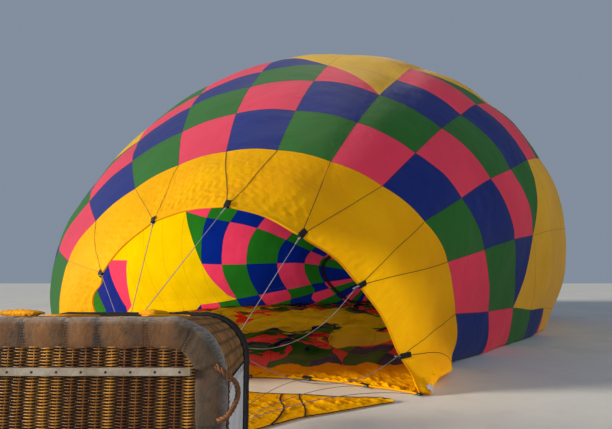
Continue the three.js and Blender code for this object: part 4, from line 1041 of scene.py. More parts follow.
    def build(self) -> None:
        """Adds the envelope's pieces."""
        look = self.finishes
        aloft = self.gores(0, self.split, 16, 18)
        piece("gores_aloft", [aloft], look.gores, stands_for=["envelope"])
        grounded = self.gores(self.split, GORES, 24, 20)
        piece("gores_grounded", [grounded], look.gores)
        piece("mouth_band_cloth", [self.band()], look.band, stands_for=["mouth_band"])
        # the tapes on the sunlit side are drawn paler than the others: painted light
        tapes = (("band_tapes_sunny", (12, 1, 2), look.faded), ("band_tapes", range(3, 12), look.tape))
        for name, numbers, material in tapes:
            ribbons = [self.ribbon(2 * number - 0.5, 2 * number - lower)
                       for number in numbers for lower in (1, 0)]
            piece(name, ribbons, material)
        seam = np.linspace(0, GORES, 385)[:-1]
        hem = self.band_point(0.0, seam)
        piece("rim_hem", [rods(hem, np.array([0.3, 1.0, 0.2]), 0.011, 8, closed=True)], look.band)
        self.vent()
        self.webbing()
        self.patch()
        dress("crown_tapes", look.webbing)

    def vent(self) -> None:
        """Parachute vent: a round sheet in the crown opening, dished along the axis by dish (1 - share^2)."""
        share = np.linspace(0.012, 1.0, 26)[:, None]
        seam = np.linspace(0, GORES, GORES * 10 + 1)[None, :]
        edge = self.point(self.rows, np.where(seam >= GORES, 0, seam))
        axis = np.array([math.sin(self.turn), math.cos(self.turn), 0.0])
        along, sideways, height = self.crown
        middle = self.place(along - self.dish, sideways, height)
        points = middle + (edge - middle) * share[..., None]
        lift = self.dish * (1 - share**2) - self.vent_inset - 0.004 + 0.012 * ripple(points, 0.9, 31)
        points = points + axis * lift[..., None]
        points[..., 2] = np.maximum(points[..., 2], 0.022)
        uv = stacked(seam, 15.02 + 0.95 * (1 - share))
        gore = np.linalg.norm(edge[:, 10] - edge[:, 0]) * share
        gap = np.abs(seam - np.round(seam)) * gore
        patch = grid_patch(points, uv, seam_gap=gap, flip=True)
        sheet = piece("parachute_vent", [patch], self.finishes.gores, body="vent",
                      stands_for=["vent_panel"])

    def patch(self) -> None:
        """Small blank label sewn to the band near its lowest right corner."""
        share = np.linspace(0.03, 0.11, 8)[:, None]
        seam = np.linspace(12.84, 13.10, 8)[None, :]
        surface = self.band_point(share, seam)
        normal = self.outward(surface)
        side = -np.sign(normal[..., 1].mean())
        piece("blank_label", [grid_patch(surface + side * 0.010 * normal)], self.finishes.panel)

    def webbing(self) -> None:
        """Black webbing loops that tie the flying wires to the rim, sewn to both faces of the band."""
        loops = []
        half = 0.013
        angle = np.linspace(-0.5 * math.pi, 0.5 * math.pi, 9)
        for number in range(1, 13):
            seam = 2 * number - 0.5
            rim, deep, beside = self.band_point(np.array([0.0, 0.13, 0.0]), seam + np.array([0.0, 0.0, 0.05]))
            run = unit(rim - deep)
            across = unit(beside - rim - run * ((beside - rim) @ run))
            normal = np.cross(run, across)
            nose = rim + run * 0.012 + half * arc(angle, run, normal)
            # the sixth loop is the long one that the photograph shows low on the right
            back = np.linspace(0.24 if number == 6 else 0.10, 0.012, 7)[:, None]
            path = np.concatenate([
                rim - run * back - normal * half, nose, rim - run * back[::-1] + normal * half])
            path[:, 2] = np.maximum(path[:, 2], 0.008)
            loops.append(rods(path, across, 0.030, 8, flat=0.12))
        piece("rim_webbing", loops, self.finishes.webbing)


def dress(node: str, material: bpy.types.Material) -> None:
    """Gives a node of the frame its finish."""
    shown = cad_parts[node]
    shown.data.materials.clear()
    shown.data.materials.append(material)


@dataclass
class Scoop(Part):
    """Loose yellow flap on the ground between the basket and the mouth, with its dark taped edges."""

    stations: Array = field(default_factory=lambda: np.array([
        # x, near y, far y, crest
        [-1.650, 4.500, 5.650, 0.025],
        [-1.050, 4.350, 5.600, 0.070],
        [-0.500, 4.320, 5.580, 0.045],
        [-0.060, 4.720, 5.560, 0.080],
        [0.360, 4.950, 5.500, 0.040],
        [0.820, 5.230, 5.380, 0.030],
        [0.950, 5.290, 5.330, 0.016],
    ]))

    def point(self, along: Array, share: Array) -> Array:
        """Point at a place along the flap, 0 to 6, and a share across it, between straight lines."""
        along, share = np.broadcast_arrays(along, share)
        x, near, far, crest = (np.interp(along, np.arange(7), self.stations[:, n]) for n in range(4))
        points = np.stack([x, near + (far - near) * share, 0 * x], -1)
        moved = self.site.move(points)
        rough = 0.5 + 0.55 * ripple(moved, 0.30, 41, 12, True) + 0.4 * ripple(moved, 0.12, 43, 12, True)
        swell = 0.5 + 0.5 * ripple(moved, 0.8, 42)
        bay = np.sin(math.pi * np.clip(share, 0.04, 0.96))
        moved[..., 2] = 0.012 + np.clip(rough, 0, 1.3) * 0.055 * bay + swell * crest * share
        return moved

    def build(self) -> None:
        """Adds the flap with its taped edges."""
        along = np.linspace(0, 6, 230)[:, None]
        share = np.linspace(0, 1, 90)[None, :]
        flap = piece("scoop_flap", [grid_patch(self.point(along, share))], self.finishes.band,
                     stands_for=["scoop"])
        # the wrinkles take up 7% of the drawn area
        edge = np.linspace(0, 6, 120)
        wander = np.linspace(0, 1, 40)
        lines = [
            self.point(edge, 0.012), self.point(edge, 0.985),
            self.point(2.40 + 0.14 * np.sin(5 * wander) + 0.25 * wander, wander * 0.96 + 0.02),
            self.point(3.05 + 0.08 * np.sin(4 * wander + 1), wander * 0.96 + 0.02),
        ]
        tapes = [rods(line + UP * 0.004, UP, 0.003, 6, flat=3.4) for line in lines]
        piece("scoop_tapes", tapes, self.finishes.webbing)


@dataclass
class Basket(Part):
    """Wicker basket on its side: cane weave, hide border, runners, padded rim, panel and handles."""

    middle_x: float = -1.120
    floor_y: float = 2.100
    rim_y: float = 3.170
    floor_half: float = 0.768
    rim_half: float = 0.712
    floor_low: float = 0.008
    floor_high: float = 1.178
    rim_low: float = 0.023
    rim_high: float = 1.093
    corner: float = 0.255
    stakes: int = 84

    def knots(self) -> Array:
        """Lengths round the outline at the floor where its bends and its straight sides end."""
        bend = self.corner * math.pi / 2
        top = 2 * (self.floor_half - self.corner)
        side = self.floor_high - self.floor_low - 2 * self.corner
        return np.cumsum([0, bend, top, bend, side, bend, top, bend, side])

    def outline(self, share: Number, y: Number, out: Number) -> tuple[Array, Array]:
        """Point and outward direction on the basket's rounded outline.

        Args:
            share: Share of the way round, by length at the floor.
            y: Distance of the section.
            out: Distance outside the wicker's face.

        Returns:
            Site points, and unit directions square to the wall in its section.
        """
        share, y, out = np.broadcast_arrays(share, y, out)
        knots = self.knots()
        place = np.mod(share, 1.0) * knots[-1]
        turn = np.interp(place, knots, np.array([0, 1, 1, 2, 2, 3, 3, 4, 4]) * math.pi / 2)
        kx = np.interp(place, knots, [1, 1, -1, -1, -1, -1, 1, 1, 1])
        kz = np.interp(place, knots, [1, 1, 1, 1, -1, -1, -1, -1, 1])
        depth = (y - self.floor_y) / (self.rim_y - self.floor_y)
        half = self.floor_half + (self.rim_half - self.floor_half) * depth
        low = self.floor_low + (self.rim_low - self.floor_low) * depth
        high = self.floor_high + (self.rim_high - self.floor_high) * depth
        normal = np.stack([np.cos(turn), 0 * turn, np.sin(turn)], -1)
        x = self.middle_x + kx * (half - self.corner) + (self.corner + out) * np.cos(turn)
        z = (low + high) / 2 + kz * ((high - low) / 2 - self.corner) + (self.corner + out) * np.sin(turn)
        return self.site.move(np.stack([x, y, z], -1)), normal

    def wall_weave(self, name: str, first: float, last: float, pitch: float, out: float) -> None:
        """Weavers round the walls: rods that pass outside and inside of the stakes in turn.

        The offset from the wall is out + 3.8 mm times cos(pi stakes share + pi row).
        """
        rows = np.arange(first, last, pitch)[:, None]
        share = np.arange(self.stakes * 4) / (self.stakes * 4)
        random = np.random.default_rng(int(first * 1000))
        wave = np.cos(math.pi * self.stakes * share + math.pi * np.arange(len(rows))[:, None])
        y = rows + random.normal(0, 0.0007, (len(rows), len(share)))
        paths, normal = self.outline(share, y, out + 0.0038 * wave)
        paths[..., 2] = np.maximum(paths[..., 2], 0.0045)
        # the valley values mark where a weaver dips behind a stake, for the painted shade there
        body = rods(paths, normal, pitch * 0.52, 4, closed=True, strand=random.uniform(0, 1, (len(rows), 1)),
                    valley=1 - smoothstep(-0.35, 0.45, np.sign(out) * wave))
        piece(name, [body], self.finishes.withy)

    def floor_weave(self) -> None:
        """Weave of the floor face: weavers along X, over and under upright stakes.

        A weaver stands out by about 10 mm times ((1 + cos(pi x / stake + pi row)) / 2)^2, a hump over every
        second stake, and falls to nothing where its ends dive under the rounded hide border.
        """
        pitch, stake, tuck = 0.0063, 0.0560, 0.114
        low, high = self.floor_low + tuck, self.floor_high - tuck
        height = np.arange(low, high, pitch)
        middle = (self.floor_low + self.floor_high) / 2
        bend = self.corner - tuck
        past = np.abs(height - middle) - (self.floor_high - self.floor_low) / 2 + self.corner
        reach = self.floor_half - self.corner + np.sqrt(bend**2 - np.clip(past, 0, bend) ** 2)
        across = np.linspace(-1, 1, 141)[None, :] * reach[:, None]
        random = np.random.default_rng(7)
        number = np.arange(len(height))[:, None]
        hump = (0.5 + 0.5 * np.cos(math.pi * across / stake + math.pi * number)) ** 2
        tucked = smoothstep(0, 0.03, reach[:, None] - np.abs(across))
        flat_place = stacked(across, 0 * across, height[:, None])
        drift = 0.0013 * ripple(flat_place, 0.09, 8) + 0.0022 * ripple(flat_place, 0.5, 9)
        out = 0.0004 + 0.0098 * hump + random.uniform(0, 0.0020, (len(height), 1))
        paths = stacked(self.middle_x + across + 0.004 * ripple(flat_place, 0.8, 10),
                        self.floor_y - 0.0016 - out * tucked, height[:, None] + drift)
        column = random.uniform(0, 1, 48)[np.round(across / stake).astype(int) + 24] ** 1.5
        strand = np.clip(0.30 * random.uniform(0, 1, (len(height), 1)) + 1.3 * column, 0, 1.4)
        thick = 0.0030 + random.uniform(-0.0006, 0.0004, (len(height), 1))
        # the valley values mark the low parts between the humps, for the painted shade there
        body = rods(self.site.move(paths), NORTH, thick, 4, strand=strand,
                    valley=1 - 0.74 * smoothstep(0.55, 0.98, hump) - 0.26 * smoothstep(0.0, 0.4, hump))
        piece("floor_weavers", [body], self.finishes.weaver)
        places = np.arange(-11, 12) * stake
        lines = stacked(self.middle_x + places[:, None], self.floor_y - 0.0040, np.linspace(low, high, 14))
        piece("floor_stakes", [rods(self.site.move(lines), EAST, 0.0045, 6)], self.finishes.stake)

    def ring(self, profile: Array, steps: int, lump: float, seed: int, seams: Array,
             edge: Optional[Array] = None, swell: float = 0.0) -> Patch:
        """Closed ring whose profile rows of (outside distance, y) are carried round the outline.

        Args:
            profile: Rows of distance outside the wicker's face, and y.
            steps: Points round the outline.
            lump: Height of the soft lumps.
            seed: Seed of the lumps.
            seams: Shares of the outline where sewn joints pull in.
            edge: A number for each profile row that the material reads.
            swell: How far the middle between two joints stands out.

        Returns:
            The ring.
        """
        share = np.arange(steps)[None, :] / steps
        y = profile[:, 1][:, None] + 0 * share
        points, normal = self.outline(share, y, profile[:, 0][:, None])
        away = unit(profile - profile.mean(0))
        apart = np.abs(np.mod(share - seams[:, None] + 0.5, 1) - 0.5) * self.knots()[-1]
        gap = apart.min(0, keepdims=True)
        puff = lump * (ripple(points, 0.11, seed) + 0.5 * ripple(points, 0.035, seed + 1))
        puff = puff - 0.0035 * np.exp(-(gap / 0.006) ** 2) + swell * (1 - np.exp(-(gap / 0.06) ** 2))
        points = points + normal * (puff * away[:, :1])[..., None]
        points[..., 1] += puff * away[:, 1:]
        points[..., 2] = np.maximum(points[..., 2], 0.0015)
        tags = {"seam_gap": gap + 0 * y, "edge": 0 * y if edge is None else edge[:, None] + 0 * y}
        columns = np.transpose(points, (1, 0, 2))
        faces = grid_faces(*columns.shape[:2], True, True)
        return Patch(columns.reshape(-1, 3), faces, None, {k: v.T.reshape(-1) for k, v in tags.items()})

    def hide(self) -> None:
        """Hide border on the floor's edge, wrapped round to the walls, with its sewn joints."""
        turn = np.linspace(-math.pi / 2, -math.pi, 7)
        nose = np.stack([-0.020 - 0.028 * np.cos(turn), 2.115 + 0.028 * np.sin(turn)], -1)
        profile = np.array([
            [-0.1195, 2.0990], [-0.1195, 2.0930], [-0.1150, 2.0900], [-0.0950, 2.0885], [-0.0700, 2.0872],
            [-0.0450, 2.0868], *nose.tolist(), [0.0080, 2.1330], [0.0078, 2.1470], [0.0060, 2.1500],
            [0.0012, 2.1502], [0.0006, 2.1000], [-0.0500, 2.0992],
        ])
        edge = np.clip((profile[:, 0] + 0.045) / 0.05, 0, 1)
        random = np.random.default_rng(12)
        # the joints that show beside the camera's view are listed one by one, the others are evenly uneven
        shown = np.array([0.014, 0.056, 0.0993, 0.1417, 0.1702, 0.2077])
        others = shown[-1] + np.cumsum(random.uniform(0.031, 0.047, 24))
        seams = np.concatenate([shown, others[others < 0.985]])
        border = self.ring(profile, 620, 0.0030, 13, seams, edge, 0.0045)
        piece("hide_cover", [border], self.finishes.hide, stands_for=["hide_border"])
        lines = []
        deep = -np.linspace(0.008, 0.112, 10)
        for seam in seams:
            for side in (-1, 1):
                beside = seam + side * 0.0011
                start, end = (self.outline(beside, 2.0862, out)[0] for out in (deep, deep - 0.007))
                lines.append(np.stack([start, (start + end) / 2 - 0.0012 * NORTH, end], 1))
        stitches = rods(np.concatenate(lines), NORTH, 0.0011, 5)
        piece("hide_stitches", [stitches], self.finishes.thread)

    def rim(self) -> None:
        """Black padded rim: a soft roll round the top edge, with a skirt that laps over the wicker."""
        angle = np.radians(np.linspace(-20, 270, 18))
        roll = np.stack([-0.006 + 0.0420 * np.cos(angle), 3.2064 + 0.0400 * np.sin(angle)], -1)
        skirt = np.array([
            [0.0125, 3.1660], [0.0125, 3.0250], [0.0170, 3.0220], [0.0190, 3.1000], [0.0200, 3.1700]])
        profile = np.concatenate([roll, skirt])
        tube = self.ring(profile[::-1], 420, 0.0016, 17, np.arange(10) / 10 + 0.03)
        made = piece("padded_rim", [tube], self.finishes.padding, stands_for=["rim_padding"])

    def runners(self) -> None:
        """Three timber runners with rounded edges and their sunk screws."""
        core = 0.0133
        depth = np.array([0.0017, -0.0265, -0.0283, -0.0283, -0.0265, 0.0017])
        lift = np.array([-0.016, -0.016, -0.0142, 0.0142, 0.016, 0.016])
        x = np.concatenate([[-0.626, -0.6248], np.linspace(-0.6225, 0.6225, 30), [0.6248, 0.626]])
        shrink = np.ones((len(x), 1))
        shrink[[0, -1]] = 0.93
        cap = np.array([[0, 1, 2, 3], [0, 3, 4, 5]])
        screws = np.arange(-0.578, 0.60, 0.1053)
        for number, height in enumerate((0.220, 0.590, 0.960), 1):
            points = self.site.move(stacked(
                self.middle_x + x[:, None], self.floor_y - core + (depth + core) * shrink,
                height + lift * shrink))
            body = grid_patch(points, wrap=True, flip=True)
            piece(f"timber_runner_{number}", [body, Patch(points[0], cap), Patch(points[-1], cap[:, ::-1])],
                  self.finishes.timber, stands_for=[f"floor_runner_{number}"], smooth=False)
            heads = self.site.move(stacked(self.middle_x + screws, self.floor_y - 0.0283, height))
            piece(f"runner_screws_{number}", [beads(heads, -NORTH, 0.0058, 0.0012, 10)],
                  self.finishes.screw)

    def panel(self) -> None:
        """Blank pale panel laced to the right wall, slightly slack, with a hem and eyelets."""
        slope = (self.rim_half - self.floor_half) / (self.rim_y - self.floor_y)
        u, v = np.meshgrid(np.linspace(0, 1, 40), np.linspace(0, 1, 30), indexing="ij")
        y = 2.165 + 0.915 * u
        low, high = 0.260 + 0.040 * u, 0.905 - 0.075 * u
        z = low + (high - low) * v
        x = self.middle_x + self.floor_half + slope * (y - self.floor_y)
        slack = 0.004 * np.sin(math.pi * u) * np.sin(math.pi * v)
        slack = slack * (1 + 0.5 * ripple(np.stack([x, y, z], -1), 0.3, 51))
        points = self.site.move(np.stack([x + 0.0105 + slack, y, z], -1))
        look = self.finishes
        sheet = piece("blank_panel", [grid_patch(points)], look.panel,
                      stands_for=["side_panel"])
        border = np.concatenate([points[:, 0], points[-1, 1:], points[-2::-1, -1], points[0, -2:0:-1]])
        piece("panel_hem", [rods(border, EAST, 0.0035, 6, closed=True)], look.panel)
        slant = np.concatenate([points[:, -1] + [0.004, 0, 0.004], points[-1:, -1] + [[0.004, 0.01, 0.0]]])
        piece("panel_cord", [rods(slant, EAST, 0.0050, 7)], look.webbing)
        lacing = points[0] + np.array([0.002, -0.008, 0.0])
        piece("corner_rope", laid_rope(lacing, 0.0080, 0.045), look.rope)
        eyes = np.concatenate([points[3:-2:6, 1], points[3:-2:6, -2]]) + np.array([0.001, 0, 0])
        piece("panel_eyelets", [beads(eyes, EAST, 0.009, 0.003, 12)], look.steel)

    def handles(self) -> None:
        """Rope handles at the floor's corners: three strands laid round each loop's line."""
        middle = (self.floor_low + self.floor_high) / 2
        front = self.floor_y - 0.0004 - 0.009
        knots = np.array([
            [-0.034, front - 0.0113, 0.392], [0.004, front - 0.019, 0.366],
            [0.050, self.floor_y + 0.006, 0.312], [0.055, self.floor_y + 0.014, 0.250],
            [0.024, front - 0.017, 0.192], [-0.020, front - 0.0113, 0.166],
        ])
        line = catmull(knots, 22)
        for name, sx, sz in CORNERS:
            x = self.middle_x + sx * (self.floor_half + line[:, 0])
            path = self.site.move(np.stack([x, line[:, 1], middle + sz * line[:, 2]], -1))
            piece(f"loop_handle_{name}", laid_rope(path, 0.0118, 0.060), self.finishes.rope,
                  stands_for=[f"rope_handle_{name}"])

    def ties(self) -> None:
        """Four rolled yellow cloth ties, two thick and two thin, that lie along the top wall."""
        # x, y, length, half thickness
        rolls = ((-1.700, 2.84, 0.34, 0.024), (-0.935, 2.92, 0.20, 0.024), (-1.330, 2.70, 0.30, 0.009),
                 (-0.760, 2.60, 0.24, 0.009))
        u = np.linspace(0, 1, 40)[:, None]
        a = full_turn(24)
        ringed = stacked(0 * a, np.cos(a) * 1.25, np.sin(a))
        taper = np.sin(math.pi * np.clip(u, 0.02, 0.98)) ** 0.35
        for number, (x, y, length, thick) in enumerate(rolls, 1):
            wander = y + 0.05 * np.sin(4.2 * u + number)
            top = self.floor_high - 0.085 * (wander - self.floor_y) / 1.07 + 0.0065 + 0.9 * thick
            place = stacked(x + (u - 0.5) * length, wander, top)
            moved = self.site.move(place + ringed * (thick * taper)[..., None])
            puff = 0.2 * thick * ripple(moved, 0.05, 60 + number, 12, True)
            moved = moved + ringed * puff[..., None]
            made = piece(f"rolled_tie_{number}", [grid_patch(moved, wrap=True, flip=True)], self.finishes.tie)

    def build(self) -> None:
        """Adds the basket's pieces."""
        # the frame's own walls and floor, seen through the gaps in the weave, are painted dark as the shadow
        # behind it
        for node in ("basket_walls", "basket_floor"):
            dress(node, self.finishes.liner)
        self.floor_weave()
        self.wall_weave("wall_weavers_low", 2.156, 2.66, 0.0098, 0.0030)
        self.wall_weave("wall_weavers_high", 2.66, 3.166, 0.0098, 0.0030)
        self.wall_weave("inner_weavers_low", 2.130, 2.65, 0.0150, -0.0310)
        self.wall_weave("inner_weavers_high", 2.65, 3.166, 0.0150, -0.0310)
        self.hide()
        self.rim()
        self.runners()
        self.panel()
        self.handles()
        self.ties()


@dataclass
class Tanks(Part):
    """Fuel tanks in the basket's corners: collars, valves and leather straps on the frame's own cylinders."""

    middle: tuple[float, float] = (-1.120, 0.572)
    offset: tuple[float, float] = (0.515, 0.330)
    base: float = 2.1224
    radius: float = 0.130
    length: float = 0.740
    collar: float = 0.098

    def at(self, radius: Array, height: Array, angle: Array) -> Array:
        """Points round all four tank axes, with the tanks first: radius, height from the base, and angle."""
        signs = np.array([[-1, -1], [1, -1], [-1, 1], [1, 1]])
        centre = np.array(self.middle) + signs * np.array(self.offset)
        radius, height, angle = np.broadcast_arrays(radius, height, angle)
        centre = centre.reshape((4,) + (1,) * radius.ndim + (2,))
        x = centre[..., 0] + radius * np.cos(angle)
        z = centre[..., 1] + radius * np.sin(angle)
        return self.site.move(stacked(x, self.base + height, z))

    def build(self) -> None:
        """Dresses the tanks and adds what is fixed to them."""
        look = self.finishes
        for name, _, _ in CORNERS:
            dress(f"fuel_cylinder_{name}", look.tank)
        round_it = full_turn(48)
        buckle = full_turn(20)
        straps, frames = [], []
        for height in (0.200, 0.520):
            strap = self.at(self.radius + 0.0016, height, round_it)
            straps.append(rods(strap, NORTH, 0.017, 8, closed=True, flat=0.10))
            frame_line = self.at(
                self.radius + 0.0052, height + 0.021 * np.sin(buckle), 1.1 + 0.19 * np.cos(buckle))
            frames.append(rods(frame_line, NORTH, 0.0022, 6, closed=True))
        piece("tank_straps", straps, look.sleeve)
        piece("strap_buckles", frames, look.steel)
        top = self.length + 0.062
        guard = [rods(self.at(self.collar, top, round_it), NORTH, 0.0085, 10, closed=True)]
        for angle in (0.5, 2.6, 4.7):
            post = self.at(self.collar, np.linspace(top, self.length - 0.020, 8), angle)
            guard.append(rods(post, np.array([1.0, 0, 0.1]), 0.0075, 8))
        seam = rods(self.at(self.radius + 0.0004, self.length / 2, round_it), NORTH, 0.0022, 6, closed=True)
        piece("tank_collars", [*guard, seam], look.tank)
        neck = self.length + 0.046
        bodies, wheels = [], []
        profile = np.array([
            [0.0, 0.0], [0.021, 0.0], [0.021, 0.020], [0.014, 0.024], [0.014, 0.040], [0.0, 0.040]])
        outlet_radius = np.array([0.011, 0.011, 0.008, 0.008, 0.013, 0.013])
        for start in self.at(0.0, neck + 0.0003, 0.0):
            bodies.append(lathe(profile, start, NORTH, EAST, 20))
            outlet = start + 0.012 * NORTH + np.linspace(0, 1, 6)[:, None] * np.array([0.048, 0.0, 0.020])
            bodies.append(rods(outlet, NORTH, outlet_radius, 12))
            hub = start + NORTH * 0.050
            wheels.append(rods(hub + 0.026 * arc(round_it, EAST, UP), NORTH, 0.0042, 8, closed=True))
            wheels.append(rods(start + NORTH * np.linspace(0.038, 0.055, 5)[:, None], EAST, 0.006, 10))
            for angle in np.arange(3) * math.pi / 3:
                spoke = 0.026 * arc(angle, EAST, UP)
                wheels.append(rods(hub + np.linspace(-1, 1, 6)[:, None] * spoke, NORTH, 0.0028, 6))
        piece("tank_valves", bodies, look.brass)
        piece("valve_wheels", wheels, look.lever)


@dataclass
class Burner(Part):
    """Twin burner in its gimbal and load frame; u runs along the frame, w towards the mouth and v up."""

    place: tuple[float, float, float] = (-1.130, 3.950, 0.450)
    roll: float = math.radians(9.9)
    half_u: float = 0.385
    half_v: float = 0.320
    can_offset: float = 0.128
    can_radius: float = 0.112
    can_length: float = 0.420
    coil_radius: float = 0.084
    coil_taper: float = 0.010
    coil_turns: int = 4

    def at(self, u: Array, w: Array, v: Array) -> Array:
        """Points given in the frame's own axes."""
        x = self.place[0] + u * math.cos(self.roll) + v * math.sin(self.roll)
        z = self.place[2] - u * math.sin(self.roll) + v * math.cos(self.roll)
        return self.site.move(stacked(x, self.place[1] + w, z))

    def coil(self, side: int) -> None:
        """Vaporising coil: a helix whose radius falls evenly, led up from the can's base."""
        turn = np.linspace(0, 1, self.coil_turns * 40 + 1)
        angle = side * 2 * math.pi * self.coil_turns * turn
        radius = self.coil_radius - self.coil_taper * turn
        lead = stacked(self.coil_radius - 0.014, np.linspace(0.0188, 0.040, 4), 0.0)
        helix = np.stack([radius * np.cos(angle), 0.060 + 0.250 * turn, radius * np.sin(angle)], -1)
        local = catmull(np.concatenate([lead, helix[3:]]), 2)
        path = self.at(side * self.can_offset + local[:, 0], local[:, 1], local[:, 2])
        name = "left" if side < 0 else "right"
        piece(f"coil_tube_{name}", [rods(path, NORTH, 0.0079, 10)], self.finishes.copper, body="burner",
              stands_for=[f"burner_coil_{name}"])

    def cans(self) -> None:
        """Beads, rolled edges and air slots of the cans, and the jet rings in them."""
        angle = full_turn(56)
        slot_angle = full_turn(20)
        edges = ((self.can_length - 0.001, 0.0040), (0.300, 0.0026), (0.150, 0.0026), (0.048, 0.0030))
        hoops, slots, jets = [], [], []
        for side in (-1, 1):
            def circle(radius: float, height: float, turn: Array = angle) -> Array:
                """Points at these angles round the axis of this side's can."""
                return self.at(side * self.can_offset + radius * np.cos(turn), height, radius * np.sin(turn))
            for height, thick in edges:
                hoops.append(rods(circle(self.can_radius + 0.0006, height), NORTH, thick, 8, closed=True))
            # the air slots are dark bars on the can's face: painted shade of the openings
            ends = [circle(self.can_radius + 0.0004, height, slot_angle) for height in (0.070, 0.085, 0.100)]
            slots.append(rods(np.stack(ends, 1), EAST, 0.0042, 8))
            jets.append(rods(circle(0.046, 0.046), NORTH, 0.0065, 10, closed=True))
            nozzles = np.stack([circle(0.046, height, slot_angle[::2]) for height in (0.048, 0.062)], 1)
            jets.append(rods(nozzles, np.array([1.0, 0.0, 0.2]), 0.0034, 8))
            for turn in (0.0, math.pi):
                spoke = [circle(radius, 0.046, turn) for radius in (0.046, 0.02, 0.0)]
                jets.append(rods(np.array(spoke), NORTH, 0.0045, 8))
        piece("can_hoops", hoops, self.finishes.steel, body="burner")
        piece("can_slots", slots, self.finishes.screw, body="burner")
        piece("jet_rings", jets, self.finishes.brass, body="burner")

    def gauges(self) -> None:
        """Two blank round gauges and two hose nipples on the face that looks into the basket."""
        case = np.array([
            [0.0, 0.0], [0.024, 0.0], [0.027, 0.004], [0.027, 0.016], [0.0245, 0.019], [0.0235, 0.016]])
        dial = np.array([[0.0236, 0.0158], [0.0, 0.0160]])
        nipple = np.array([
            [0.0, 0.0], [0.011, 0.0], [0.011, 0.010], [0.007, 0.012], [0.0075, 0.032], [0.0, 0.032]])
        cases, dials, needles, nipples = [], [], [], []
        for sign in (-1, 1):
            start = self.at(sign * 0.042, -0.1252, 0.014)
            cases.append(lathe(case, start, -NORTH, EAST, 32))
            dials.append(lathe(dial, start, -NORTH, EAST, 32))
            tip = start - NORTH * 0.0170
            needle = tip + np.array([[-0.004, 0, -0.004], [-0.012, 0.0, 0.011 * sign]])
            needles.append(rods(needle, -NORTH, 0.0011, 6))
            nipples.append(lathe(nipple, self.at(sign * 0.030, -0.1252, -0.034), -NORTH, EAST, 16))
        piece("gauge_cases", cases, self.finishes.steel, body="burner")
        piece("gauge_dials", dials, self.finishes.panel, body="burner")
        piece("gauge_needles", needles, self.finishes.webbing, body="burner")
        piece("hose_nipples", nipples, self.finishes.brass, body="burner")

    def wraps(self) -> None:
        """Laced leather wraps on the load frame's tubes, eight lengths clear of corners and bosses."""
        corners = np.array([[-1, 1], [1, 1], [1, -1], [-1, -1]]) * np.array([self.half_u, self.half_v])
        run = np.linspace(0, 1, 26)
        lines, laces = [], []
        for n in range(4):
            start, end = corners[n], corners[(n + 1) % 4]
            for low, high in ((0.10, 0.41), (0.59, 0.90)):
                spot = start + (end - start) * (low + (high - low) * run[:, None])
                lines.append(self.at(spot[:, 0], 0 * run, spot[:, 1]))
                out = unit((start + end) / 2) * 0.0253
                zigzag = 0.006 * np.where(np.arange(26) % 2, 1, -1)
                laces.append(self.at(spot[:, 0] + out[0], zigzag, spot[:, 1] + out[1]))
        lines = np.array(lines)
        round_ends = 0.0205 + 0.0042 * np.sin(math.pi * np.clip(run, 0.02, 0.98)) ** 0.2
        thick = round_ends[None] + 0.0010 * ripple(lines, 0.05, 91)
        wraps = piece("frame_wraps", [rods(lines, NORTH, thick, 14)], self.finishes.sleeve)
        piece("wrap_laces", [rods(np.array(laces), NORTH, 0.0014, 5)], self.finishes.thread)

    def uprights(self) -> None:
        """Padded leather uprights from the rim's corners to the frame, with cuffs and a laced seam."""
        aside = np.array([0.3, 0.2, 1.0])
        for name, su, sv in CORNERS:
            foot = self.site.move(np.array([-1.120 + su * 0.627, 3.2432, 0.558 + sv * 0.450]))
            top = self.at(su * self.half_u, 0.0, sv * self.half_v)
            lower, upper = (self.at(su * self.half_u, w, sv * self.half_v) for w in (-0.100, -0.0268))
            knots = np.array([foot, foot + [0, 0.070, 0], (foot + top) / 2, lower, upper])
            path = catmull(knots, 26)
            share = np.linspace(0, 1, len(path))
            cuff = smoothstep(0.055, 0.045, share) + smoothstep(0.945, 0.955, share)
            thick = 0.0252 + 0.0012 * ripple(path, 0.035, 95, 9, True) + 0.0022 * cuff
            sleeve = piece(f"padded_upright_{name}", [rods(path, aside, thick, 18)], self.finishes.sleeve,
                           stands_for=[f"upright_{name}"])
            tangent = unit(np.gradient(path, axis=0))
            out = unit(np.cross(tangent, sv * UP))
            swing = unit(np.cross(tangent, out))
            zigzag = 0.0055 * np.where(np.arange(len(path)) % 2, 1, -1)[:, None]
            lace = path + out * (thick[:, None] + 0.0004) + swing * zigzag
            piece(f"upright_lace_{name}", [rods(lace[7:-7], aside, 0.0013, 5)], self.finishes.thread)

    def build(self) -> None:
        """Dresses the frame's own solids and adds the details."""
        look = self.finishes
        for node in ("load_frame", "gimbal_ring", "burner_can_left", "burner_can_right"):
            dress(node, look.steel)
        dress("burner_block", look.brass)
        for node in ("valve_lever_left", "valve_lever_right"):
            dress(node, look.lever)
        for side in (-1, 1):
            self.coil(side)
        self.cans()
        self.gauges()
        self.wraps()
        self.uprights()


